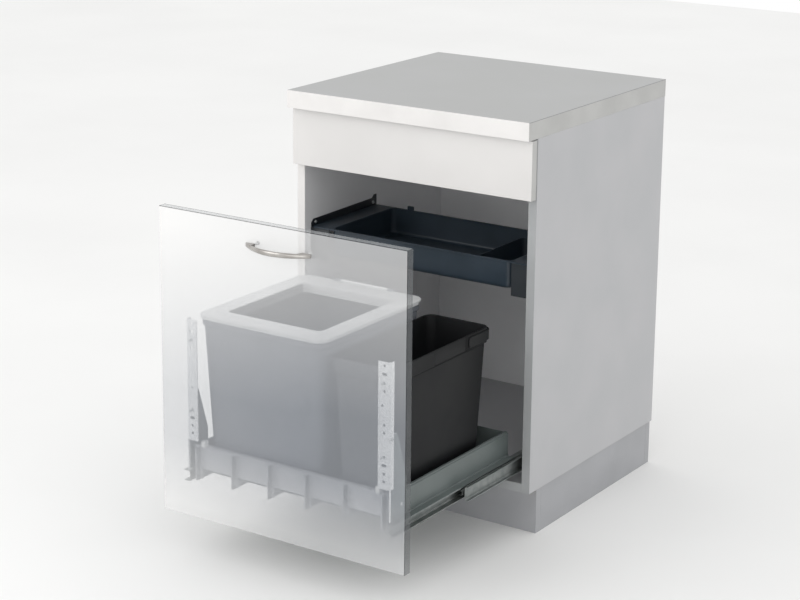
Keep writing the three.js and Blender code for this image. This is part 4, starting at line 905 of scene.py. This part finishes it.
def make_front_rail():
    """Light moulding across the front: a plate, a lip on top, and six blades with level feet."""
    (x0, front, low), (x1, back, top) = node_box("front_rail")
    plate_back = front + 19
    floor_bottom = node_box("floor_plate")[0][2]
    plate_path = [(plate_back - 1.5, top - 1.5), (plate_back - 1.5, floor_bottom - 1.5),
                  (plate_back + 24.5, floor_bottom - 1.5)]
    face = bent_sheet("face", plate_path, 3, 6, x0, x1, "x", RAIL_PLASTIC, 7)
    lip = box_piece("lip", (x0 + 10, front + 13, top - 3), (x1 - 10, front + 26, top),
                    RAIL_PLASTIC, 1.1, 3)
    rings = [[(-half, y, z0), (half, y, z0), (half, y, z1), (-half, y, z1)] for y, z0, z1, half
             in blade_sections(front, back, low, top, plate_back, floor_bottom)]
    ribs = row("ribs", skin("rib", rings, RAIL_PLASTIC, 50), RIBS, (-OUTER_RIB, 0, 0),
               (2 * OUTER_RIB / (RIBS - 1), 0, 0), RAIL_PLASTIC)
    # The blades' side faces are painted darker as shade.
    painted(ribs, lambda normal, at: RIB_FLANK_PAINTED_SHADE if abs(normal.x) > 0.9 else RAIL_PLASTIC)
    made = joined("front_rail_moulding", [face, lip, ribs])
    place(made, "pullout", "front_rail", slot="grey_moulding")


# ------------------------------------------------------------------ door and its fixing
DOOR_BACK_Y = -745.0
HANDLE_SCREW_X = 64.0
STRIP_FOOT, STRIP_LENGTH, STRIP_SHEET = 242.0, 258.0, 1.9
HOLE_LINE_X = 235.5      # the strip's line of holes, from the unit's middle
FLANGE_X = 248.5         # the strip's folded side
SHEET_GAP = 0.05         # keeps the strips' faces off the sheet's own back face
HOLES = (16, 32, 66, 115, 131, 199, 215, 250)        # heights above the strip's foot
LONE_HOLE = (5, 170)     # a hole beside the line, nearer the middle
SLOTS = (49, 233)
BRACKET_SCREWS = (66, 215)


def make_door():
    low, high = node_box("door_panel")
    handle_z = node_middle("door_handle")[2]
    sheet = box_piece("door_sheet", low, high, ACRYLIC, 1.2, 1)
    through = [(sign * HANDLE_SCREW_X, (low[1] + high[1]) / 2, handle_z) for _, sign in SIDES]
    punched(sheet, through, (0, 1, 0), 2.3, 30, ACRYLIC)

    # The right edge, the top edge and the arrises are painted dark as shade.
    def face_finish(normal, centre):
        if max(normal.x, normal.z) > 0.9:
            return ACRYLIC_RIGHT_EDGE_PAINTED_SHADE if normal.x > 0.9 else ACRYLIC_TOP_EDGE_PAINTED_SHADE
        if max(normal.x, normal.z) > 0.3 and centre.z > low[2] + 5:
            return ACRYLIC_ARRIS_PAINTED_SHADE
        return ACRYLIC if normal.y < -0.9 else ACRYLIC_CLEAR
    painted(sheet, face_finish)
    place(sheet, "pullout", "door_panel", slot="clear_acrylic")
    place(bow_handle(handle_z, low[1]), "pullout", "door_handle", slot="satin_nickel")
    for side, sign in SIDES:
        door_bracket(side, sign)


def bow_handle(z, face):
    """A cast bow that swells out of two solid feet; it is widest and thickest in its middle."""
    half_length, bow, foot, steps, sides = 78.0, 30.0, 22.0, 60, 20
    rings = []
    for i in range(steps + 1):
        u = -1 + 2 * i / steps
        lift = max(math.cos(u * math.pi / 2), 0.0) ** 0.8 * bow
        swell = 1 - 0.28 * u * u
        over_foot = half_length * (1 - abs(u)) < foot
        ring = []
        for k in range(sides):
            angle = k / sides * 2 * math.pi
            out = 3.2 * swell * math.cos(angle)
            up = 5.5 * swell * math.sin(angle)
            y = face if over_foot and out < 0 else min(face - lift - out, face)
            ring.append((u * half_length, y, z + up))
        rings.append(ring)
    return skin("bow_handle", rings, NICKEL, 50)


def door_bracket(side, sign):
    """The perforated angle strip with its tab, the gusset and the clip on one side."""
    middle_y = DOOR_BACK_Y + 1 + SHEET_GAP
    x, flange_x = sign * HOLE_LINE_X, sign * FLANGE_X
    strip = bent_sheet("strip", [(sign * 221.5, middle_y), (flange_x, middle_y), (flange_x, -731)],
                       STRIP_SHEET, 2.2, STRIP_FOOT, STRIP_FOOT + STRIP_LENGTH, "z", COAT_LIGHT)
    spots = [(x, h) for h in HOLES]
    spots.append((x - sign * LONE_HOLE[0], LONE_HOLE[1]))
    spots += [(x + shift, h) for h in SLOTS for shift in (-3, -1.5, 0, 1.5, 3)]
    holes = [(across, middle_y, STRIP_FOOT + h) for across, h in spots]
    punched(strip, holes, (0, 1, 0), 3, 6, COAT_LIGHT)
    y0, y1, z0, z1 = DOOR_BACK_Y + SHEET_GAP, -739, 175, STRIP_FOOT + 1
    flange = plate("flange", [(y0, z0), (y1, z0), (y1, z1), (y0, z1)], "x", flange_x - 1,
                   flange_x + 1, COAT_LIGHT, 2)
    tab = plate("tab", [(-743, 338), (-715, 338), (-715, 353), (-743, 353)],
                "x", sign * 245.1 - 0.4, sign * 245.1 + 0.4, COAT_LIGHT, 2, 0.15)
    place(joined(f"door_bracket_sheet_{side}", [strip, flange, tab]), "pullout",
          f"door_bracket_{side}", slot="bracket_steel")

    (_, y0, z0), (_, y1, z1) = node_box(f"gusset_{side}")
    outline = [(y0, z0), (y1, z0), (y1, z0 + 77), (y0 + 29, z1 - 14), (y0 + 29, z1), (y0, z1)]
    gusset = plate(f"gusset_sheet_{side}", outline, "x", sign * 246.5 - 1, sign * 246.5 + 1,
                   COAT_GREY, 4)
    place(gusset, "pullout", f"gusset_{side}", slot="coated_steel")

    clip = box_piece(f"foot_clip_{side}", *node_box(f"bracket_clip_{side}"), NYLON, 1.2, 3)
    place(clip, "pullout", f"bracket_clip_{side}", slot="white_nylon")


# ------------------------------------------------------------------ screws and rivets
def screw_head(radius, height):
    """A pan head with a cross recess, its flat side at z = 0."""
    head = lathe("screw head", [(0, 0), (radius, 0), (radius, 0.45 * height),
                                (0.86 * radius, 0.8 * height), (0.5 * radius, height), (0, height)],
                 ZINC_SCREW, 20)
    for a, b in ((0.55 * radius, 0.13 * radius), (0.13 * radius, 0.55 * radius)):
        cut_out(head, box_piece("arm", (-a, -b, 0.45 * height), (a, b, height + 1), ZINC_SCREW,
                                0.05, 1))
    return head


def make_fasteners():
    """Screws and rivets, one piece for each body; each screw is turned to an angle of its own."""
    shank = lathe("shank", [(0, -13), (0.6, -13), (2, -10.5), (2, 0), (0, 0)], ZINC_SCREW, 12)
    screw = joined("screw", [screw_head(3.8, 2.2), shank])
    full_turn = 6.28
    spots, nodes = [], []
    for side, sign in SIDES:
        spots.append(((sign * HANDLE_SCREW_X, DOOR_BACK_Y, 686), (0, 1, 0)))
        nodes.append(f"handle_screw_{side}")
        for i, height in enumerate(BRACKET_SCREWS):
            spots.append(((sign * HOLE_LINE_X, DOOR_BACK_Y + 2, STRIP_FOOT + height), (0, 1, 0)))
            nodes.append(f"bracket_screw_{side}_{i + 1}")
        rail_front = node_box("front_rail")[0][1]
        spots.append(((sign * 238, rail_front + 16, STRIP_FOOT - 57), (0, -1, 0)))
    screws = copies("door_screws", screw, spots, ZINC_SCREW, full_turn)

    rivet = lathe("rivet", [(0, -0.2), (4.2, 0), (4.1, 0.6), (3.2, 1.3), (1.6, 1.6), (1.2, 1.1),
                            (0, 1.1)], ZINC_SCREW, 20)
    spots = []
    for side, _ in SIDES:
        for node in (f"gusset_rivet_{side}", f"bracket_rivet_{side}"):
            low, high = node_box(node)
            _, y, z = node_middle(node)
            spots += [((low[0] + 1.6, y, z), (-1, 0, 0)), ((high[0] - 1.6, y, z), (1, 0, 0))]
            nodes.append(node)
    rivets = copies("rivets", rivet, spots, ZINC_SCREW)
    place(joined("door_fasteners", [screws, rivets]), "pullout", *nodes, slot="zinc_steel")

    spots, nodes = [], []
    for side, sign in SIDES:
        for i in (1, 2):
            node = f"tray_screw_{side}_{i}"
            _, y, z = node_middle(node)
            spots.append(((sign * 279.5, y, z), (-sign, 0, 0)))
            nodes.append(node)
    tray_screws = copies("tray_screws", screw, spots, ZINC_SCREW, full_turn, 5)
    place(tray_screws, "cabinet", *nodes, slot="zinc_steel")
    bpy.data.objects.remove(screw)
    bpy.data.objects.remove(rivet)


# ------------------------------------------------------------------ bins
BARREL_RADIUS, BARREL_CHAMFER = 4.5, 0.4
BARREL_HALF, PIN_HALF = 60.0, 75.0
LUG_INNER, LUG_OUTER = 61.0, 75.0
SIDE_BORDER, END_BORDER = 42.0, 52.0     # the clamp ring's width at its sides and its ends
SKIRT_HOLES, SKIRT_PITCH = 9, 26.0


def tub_rings(tub, band):
    """Rings of a tapered tub from the middle of its underside up, over the rim and down inside."""
    centre, half_width, half_depth, height, corner = tub

    def lean(z):
        return PROUD + (height - z) * TAPER
    levels = [(lean(0) + 16, 2.0), (lean(0) + 12, 1.6), (lean(0) + 9, 0.0), (lean(0) + 5, 0.0)]
    foot_curve = (0.4, 0.8, 1.2, math.pi / 2)
    levels += [(lean(0) + 5 - 5 * math.sin(a), 5 - 5 * math.cos(a)) for a in foot_curve]
    edge = height - band
    levels += [(lean(height * s), height * s) for s in (0.25, 0.5, 0.75)]
    levels += [
        (lean(edge - 4), edge - 4), (lean(edge - 3), edge - 3), (lean(edge) + 1.0, edge - 2.4),
        (lean(edge) + 1.3, edge - 1.0), (lean(edge) + 1.0, edge - 0.2), (0.9, edge),
        (0.25, edge + 0.3), (0.0, edge + 1.0), (0.0, height - 1.4), (0.3, height - 0.4),
        (1.0, height), (PROUD + WALL - 1.0, height), (PROUD + WALL - 0.3, height - 0.4),
        (PROUD + WALL, height - 1.4),
    ]
    levels += [(lean(height * s) + WALL, height * s) for s in (0.75, 0.5, 0.25)]
    levels += [(lean(5) + WALL + 5 - 5 * math.sin(a), WALL + 5 - 5 * math.cos(a))
               for a in foot_curve[::-1]]
    levels += [(lean(0) + WALL + 6, WALL), (lean(0) + WALL + 20, WALL)]
    return [ring_at(centre, half_width - inset, half_depth - inset, max(corner - inset * 0.4, 4), z)
            for inset, z in levels]


def make_large_bin():
    """The tall grey bin with the two lugs and the pin that its clamp ring turns on."""
    centre, _, half_depth, height, _ = LARGE_TUB
    tub = skin("tub", tub_rings(LARGE_TUB, 18), BIN_GREY, 30)
    floor_z, rim_z = centre[2] + 12, centre[2] + height - 6

    # Inner walls are painted darker as shade inside the tub.
    def wall_finish(normal, at):
        inwards = normal.x * (at.x - centre[0]) + normal.y * (at.y - centre[1]) < -20
        return BIN_INSIDE_PAINTED_SHADE if inwards and floor_z < at.z < rim_z else BIN_GREY
    painted(tub, wall_finish)
    hinge_y, hinge_z = centre[1] + half_depth + 8, centre[2] + height + 2
    parts = [tub]
    for _, sign in SIDES:
        low = (centre[0] + sign * LUG_INNER, centre[1] + half_depth - PROUD,
               centre[2] + height - 18)
        high = (centre[0] + sign * LUG_OUTER, hinge_y + BARREL_RADIUS, hinge_z)
        parts.append(box_piece("lug", low, high, BIN_GREY, 0.8, 2))
        knuckle = peg("knuckle", BARREL_RADIUS, LUG_OUTER - LUG_INNER, BIN_GREY, 24, BARREL_CHAMFER)
        parts.append(along(knuckle, (1, 0, 0), (min(low[0], high[0]), hinge_y, hinge_z)))
    place(joined("large_bin_tub", parts), "large_bin", "large_bin", slot="bin_grey")
    pin = along(peg("clamp_pin", 2, 2 * PIN_HALF, ZINC_SCREW, 20, 0.5), (1, 0, 0),
                (centre[0] - PIN_HALF, hinge_y, hinge_z))
    place(pin, "large_bin", "clamp_hinge_pin", slot="zinc_steel")
    make_clamp_frame(hinge_y, hinge_z)


def clamp_rings(centre, half_width, half_depth, bottom, top):
    """The ring's section, from its outer lip over the crowned border to the skirt and back."""
    foot = bottom - 18
    at_border = (
        (0.4, bottom - 4, 29.6), (0, bottom - 3.6, 30), (0, bottom - 3, 30), (0, top - 1.6, 30),
        (0, top - 1.1, 30), (0.3, top - 0.3, 29.7), (1.1, top, 29), (1.9, top, 28.2))
    at_opening = (
        (2.3, top, 14.2), (1.4, top, 13.4), (0.4, top - 0.4, 12.4), (0, top - 1.4, 12),
        (0, top - 2.2, 12), (0, foot + 1, 12), (0, foot + 0.4, 12), (0.4, foot, 12.4),
        (1.6, foot, 13.6), (2, foot + 0.4, 14), (2, foot + 1, 14), (2, bottom - 0.6, 14),
        (2.6, bottom, 14.6), (3.4, bottom, 15.4))
    under_border = (
        (4.4, bottom, 25.8), (3.5, bottom, 26.6), (3.2, bottom - 0.4, 26.8),
        (3.2, bottom - 3.6, 26.8), (2.8, bottom - 4, 27.2))

    def border(levels):
        return [ring_at(centre, half_width - inset, half_depth - inset, radius, z)
                for inset, z, radius in levels]
    opening = [ring_at(centre, half_width - SIDE_BORDER + outset, half_depth - END_BORDER + outset,
                       radius, z) for outset, z, radius in at_opening]
    return border(at_border) + opening + border(under_border)


def make_clamp_frame(hinge_y, hinge_z):
    """The light ring over the bag: crowned border, outer lip, inner skirt and hinge barrel."""
    centre, tub_width, tub_depth, bottom, _ = LARGE_TUB
    half_width, half_depth, top = tub_width + 4, tub_depth + 4, bottom + 4
    ring = skin("ring", clamp_rings(centre, half_width, half_depth, bottom, top), CLAMP_PLASTIC, 30,
                capped=False)
    back = centre[1] + half_depth + 2
    cuts = [((centre[0] - 200, centre[1] + tub_depth - 26, 0),
             (centre[0] + 200, back, centre[2] + bottom - 0.05))]
    for _, sign in SIDES:
        cuts.append(((centre[0] + sign * (LUG_INNER - 0.5), centre[1] + tub_depth - 3.5, 400),
                     (centre[0] + sign * (LUG_OUTER + 0.5), back, 600)))
    for low, high in cuts:
        cut_out(ring, box_piece("notch", low, high, CLAMP_PLASTIC, 0.01, 1))
    skirt_x = centre[0] - half_width + SIDE_BORDER
    holes = [(skirt_x, centre[1] + (i - (SKIRT_HOLES - 1) / 2) * SKIRT_PITCH,
              centre[2] + bottom - 8.5) for i in range(SKIRT_HOLES)]
    punched(ring, holes, (1, 0, 0), 3.6, 12, CLAMP_PLASTIC, 16)
    under_crown = centre[2] + top - 3
    # The left skirt's inner face is painted mid grey, partly its own tone and partly painted shade
    # under the border.
    painted(ring, lambda normal, at: SKIRT_GREY_AND_PAINTED_SHADE if normal.x > 0.7 and at.z < under_crown
            and abs(at.x - skirt_x) < 1 else CLAMP_PLASTIC)
    barrel = peg("barrel", BARREL_RADIUS, 2 * BARREL_HALF, CLAMP_PLASTIC, 24, BARREL_CHAMFER)
    along(barrel, (1, 0, 0), (centre[0] - BARREL_HALF, hinge_y, hinge_z))
    web = box_piece("web", (centre[0] - BARREL_HALF, centre[1] + half_depth - 2, hinge_z - 2),
                    (centre[0] + BARREL_HALF, hinge_y, hinge_z + 2), CLAMP_PLASTIC, 0.6, 2)
    place(joined("clamp_ring", [ring, barrel, web]), "clamp_frame", "clamp_frame",
          slot="light_moulding")


def make_small_bin():
    centre, half_width, half_depth, height, _ = SMALL_TUB
    tub = skin("small_bin_tub", tub_rings(SMALL_TUB, 32), BIN_BLACK, 30)
    for _, sign in SIDES:
        low = (centre[0] + sign * (half_width - 1.4), centre[1] - 35, centre[2] + height - 31)
        high = (centre[0] + sign * (half_width + 5), centre[1] + 84, centre[2] + height + 5)
        cut_out(tub, box_piece("recess", low, high, BIN_BLACK, 1.0, 2))
    front = centre[1] - half_depth + 24
    # The front wall is painted lighter as painted light.
    painted(tub, lambda normal, at: BIN_FRONT_PAINTED_LIGHT if normal.y < -0.8 and at.y < front else BIN_BLACK)
    place(tub, "small_bin", "small_bin", slot="bin_black")
    make_bail()


def make_bail():
    """The flat strap that lies round the rear of the small bin's band, and its two pins."""
    centre, half_width, half_depth, height, _ = SMALL_TUB
    pivot_y, pivot_z = half_depth - 78, centre[2] + height - 15
    half_strap, end, half_sheet = 11.0, 11.0, 1.5
    loop_width, loop_depth, radius = half_width + 2.1, half_depth + 3.1, 23.1
    ends = [(s, half_strap * (1 - (1 - s / end) ** 3) ** (1 / 3))
            for s in (0.02, 0.3, 1, 2.2, 4, 7, 11)]
    path = [(loop_width, pivot_y - end + s, h) for s, h in ends]
    path += [(x, y, half_strap) for x, y in rounded_rectangle(loop_width, loop_depth, radius, 9)
             if y > 0]
    path += [(-loop_width, pivot_y - end + s, h) for s, h in ends[::-1]]
    rings = []
    for i, (x, y, h) in enumerate(path):
        before, after = path[max(i - 1, 0)], path[min(i + 1, len(path) - 1)]
        tangent = Vector((after[0] - before[0], after[1] - before[1])).normalized()
        normal = Vector((tangent.y, -tangent.x))
        soft = min(0.9, h * 0.5)
        flat = half_sheet - soft
        section = ((-half_sheet, soft - h), (-flat, -h), (flat, -h), (half_sheet, soft - h),
                   (half_sheet, h - soft), (flat, h), (-flat, h), (-half_sheet, h - soft))
        rings.append([(centre[0] + x + normal.x * across, centre[1] + y + normal.y * across,
                       pivot_z + up) for across, up in section])
    parts = [skin("strap", rings, BIN_BLACK, 40)]
    for _, sign in SIDES:
        parts.append(along(peg("pin", 3, 6.4, BIN_BLACK, 16), (sign, 0, 0), (
            centre[0] + sign * (half_width - 5), centre[1] + pivot_y, pivot_z)))
    place(joined("carry_bail", parts), "bail", "bail_handle", slot="bin_black")


# ------------------------------------------------------------------ utensil tray
TRAY_HALF_WIDTH, TRAY_HALF_DEPTH = 229.0, 120.0
TRAY_WALL, TRAY_FOOT_RADIUS = 2.5, 10.0
BRACKET_FRONT, BRACKET_BACK = -273.0, -18.0
LEDGE_TOP, UPSTAND_TOP = 587.0, 605.0
BRACKET_SHEET = 1.5


def make_tray():
    """The shallow tray with flanges that reach its brackets, and a catch on its rear rim."""
    (_, y0, z0), (_, y1, z1) = node_box("utensil_tray")
    centre, height = (0.0, (y0 + y1) / 2, z0), z1 - z0
    half_width, half_depth = TRAY_HALF_WIDTH, TRAY_HALF_DEPTH

    def foot_levels(wall):
        """The rounding between floor and wall, as (inset, height) on one face of the sheet."""
        radius = TRAY_FOOT_RADIUS - wall
        return [(wall + radius * (1 - math.sin(a)), wall + radius * (1 - math.cos(a)))
                for a in (i / 6 * math.pi / 2 for i in range(7))]

    levels = [(half_width - inset, half_depth - inset, 16, z) for inset, z in foot_levels(0)]
    levels += [
        (half_width, half_depth, 16, height - 3.6),
        (half_width + 0.6, half_depth + 0.5, 16, height - 3),
        (276.6, half_depth + 3.6, 8, height - 3), (277, half_depth + 4, 8, height - 2.5),
        (277, half_depth + 4, 8, height - 0.6), (276.4, half_depth + 3.4, 8, height),
        (half_width - TRAY_WALL + 1.2, half_depth - TRAY_WALL + 1.2, 14.5, height),
        (half_width - TRAY_WALL, half_depth - TRAY_WALL, 13.5, height - 1.2)]
    levels += [(half_width - inset, half_depth - inset, 13.5, z)
               for inset, z in foot_levels(TRAY_WALL)[::-1]]
    tub = skin("tray_tub", [ring_at(centre, *level, steps=8) for level in levels], TRAY_PLASTIC, 30)
    catch = box_piece("catch", (-187, y1 - 6, z1 - 1), (-172, y1, z1 + 9), TRAY_PLASTIC, 1.2, 2)
    place(joined("utensil_tray_tub", [tub, catch]), "tray", "utensil_tray",
          slot="anthracite_plastic")
    make_tray_insert()
    make_tray_brackets()


def make_tray_insert():
    (x0, y0, z0), (x1, y1, z1) = node_box("tray_insert")
    centre, height = ((x0 + x1) / 2, (y0 + y1) / 2, z0), z1 - z0
    levels = [(5, 0), (3.2, 0.4), (1.8, 1.6), (1, 4), (0.1, height - 0.5), (0.4, height),
              (1.2, height), (1.6, height - 0.5), (2.6, 5.6), (3.6, 3.2), (5.2, 1.9), (6.6, 1.6)]
    rings = [ring_at(centre, (x1 - x0) / 2 - inset, (y1 - y0) / 2 - inset, 11 - inset / 2, z, 7)
             for inset, z in levels]
    place(skin("tray_insert_tub", rings, TRAY_PLASTIC, 30), "tray_insert", "tray_insert",
          slot="anthracite_plastic")


def make_tray_brackets():
    """On each side panel an upstand with a ledge for the tray's flange, and a front cover."""
    front, back, ledge, upper = BRACKET_FRONT, BRACKET_BACK, LEDGE_TOP, UPSTAND_TOP
    outline = [(front, ledge - BRACKET_SHEET), (back, ledge - BRACKET_SHEET), (back, upper + 9),
               (back - 12, upper + 9), (back - 18, upper), (front + 8, upper), (front, upper - 8)]
    half = BRACKET_SHEET / 2
    for side, sign in SIDES:
        inner, outer, upstand = sign * 231.5, sign * BAY_HALF, sign * (BAY_HALF - half)
        parts = [
            plate("upstand", outline, "x", upstand - half, upstand + half, COAT_DARK, 2),
            box_piece("ledge", (inner, front, ledge - BRACKET_SHEET), (outer, back, ledge),
                      COAT_DARK, 0.4, 1),
            box_piece("cover", (inner, front, ledge - 70), (outer, front + BRACKET_SHEET, ledge),
                      COAT_DARK, 0.5, 2)]
        place(joined(f"tray_bracket_sheet_{side}", parts), "cabinet", f"tray_bracket_{side}",
              slot="anthracite_steel")


# ------------------------------------------------------------------ studio
PHOTO_WIDTH, PHOTO_HEIGHT = 800, 600     # pixels
FOCAL_PIXELS = 2084.1
PHOTO_CENTRE = (385.1, 220.0)            # the pixel that the camera looks straight at
SENSOR_MM = 36


def make_studio():
    bpy.ops.mesh.primitive_plane_add(size=14, location=(0, 0, 0))
    ground = bpy.context.active_object
    ground.name = "studio_floor"
    ground.data.materials.append(FLOOR)

    world = bpy.data.worlds.new("studio_sky")
    world.use_nodes = True
    world.node_tree.nodes["Background"].inputs["Color"].default_value = hex_colour("#ffffff")
    bpy.context.scene.world = world
    bpy.context.scene.view_settings.view_transform = "Standard"
    soft_box("key_from_front_left", (-1.7, -3.6, 2.0), (0, -0.5, 0.55), (2.4, 2.4), 30)
    soft_box("fill_from_front_right", (0.9, -3.0, 0.8), (0.1, 0.2, 0.5), (1.2, 0.9), 6)


def soft_box(name, place_m, target_m, size, watts):
    light = bpy.data.lights.new(name, "AREA")
    light.shape = "RECTANGLE"
    light.size, light.size_y = size
    light.energy = watts
    lamp = new_object(name, light)
    lamp.location = place_m
    lamp.rotation_euler = (Vector(target_m) - Vector(place_m)).to_track_quat("-Z", "Y").to_euler()


def make_camera():
    """The photograph's viewing angle: 34 degrees to the right of the front, 14 degrees above."""
    yaw, pitch, roll = -0.5937, 0.2494, 0.0077
    forward = Vector((math.sin(yaw) * math.cos(pitch), math.cos(yaw) * math.cos(pitch),
                      -math.sin(pitch)))
    right = forward.cross(Vector((0, 0, 1))).normalized()
    up = right.cross(forward)
    turned_right = right * math.cos(roll) + up * math.sin(roll)
    turned_up = up * math.cos(roll) - right * math.sin(roll)
    data = bpy.data.cameras.new("photo_camera")
    camera = new_object("photo_camera", data)
    basis = Matrix((turned_right, turned_up, -forward)).transposed().to_4x4()
    camera.matrix_world = Matrix.Translation(Vector((2.3352, -3.8575, 1.7335))) @ basis
    data.sensor_width = SENSOR_MM
    data.lens = FOCAL_PIXELS * SENSOR_MM / PHOTO_WIDTH
    data.shift_x = (PHOTO_WIDTH / 2 - PHOTO_CENTRE[0]) / PHOTO_WIDTH
    data.shift_y = (PHOTO_CENTRE[1] - PHOTO_HEIGHT / 2) / PHOTO_WIDTH
    data.clip_end = 50
    bpy.context.scene.camera = camera


make_carcass()
make_runners()
make_cages()
make_frame()
make_door()
make_fasteners()
make_large_bin()
make_small_bin()
make_tray()
make_studio()
make_camera()
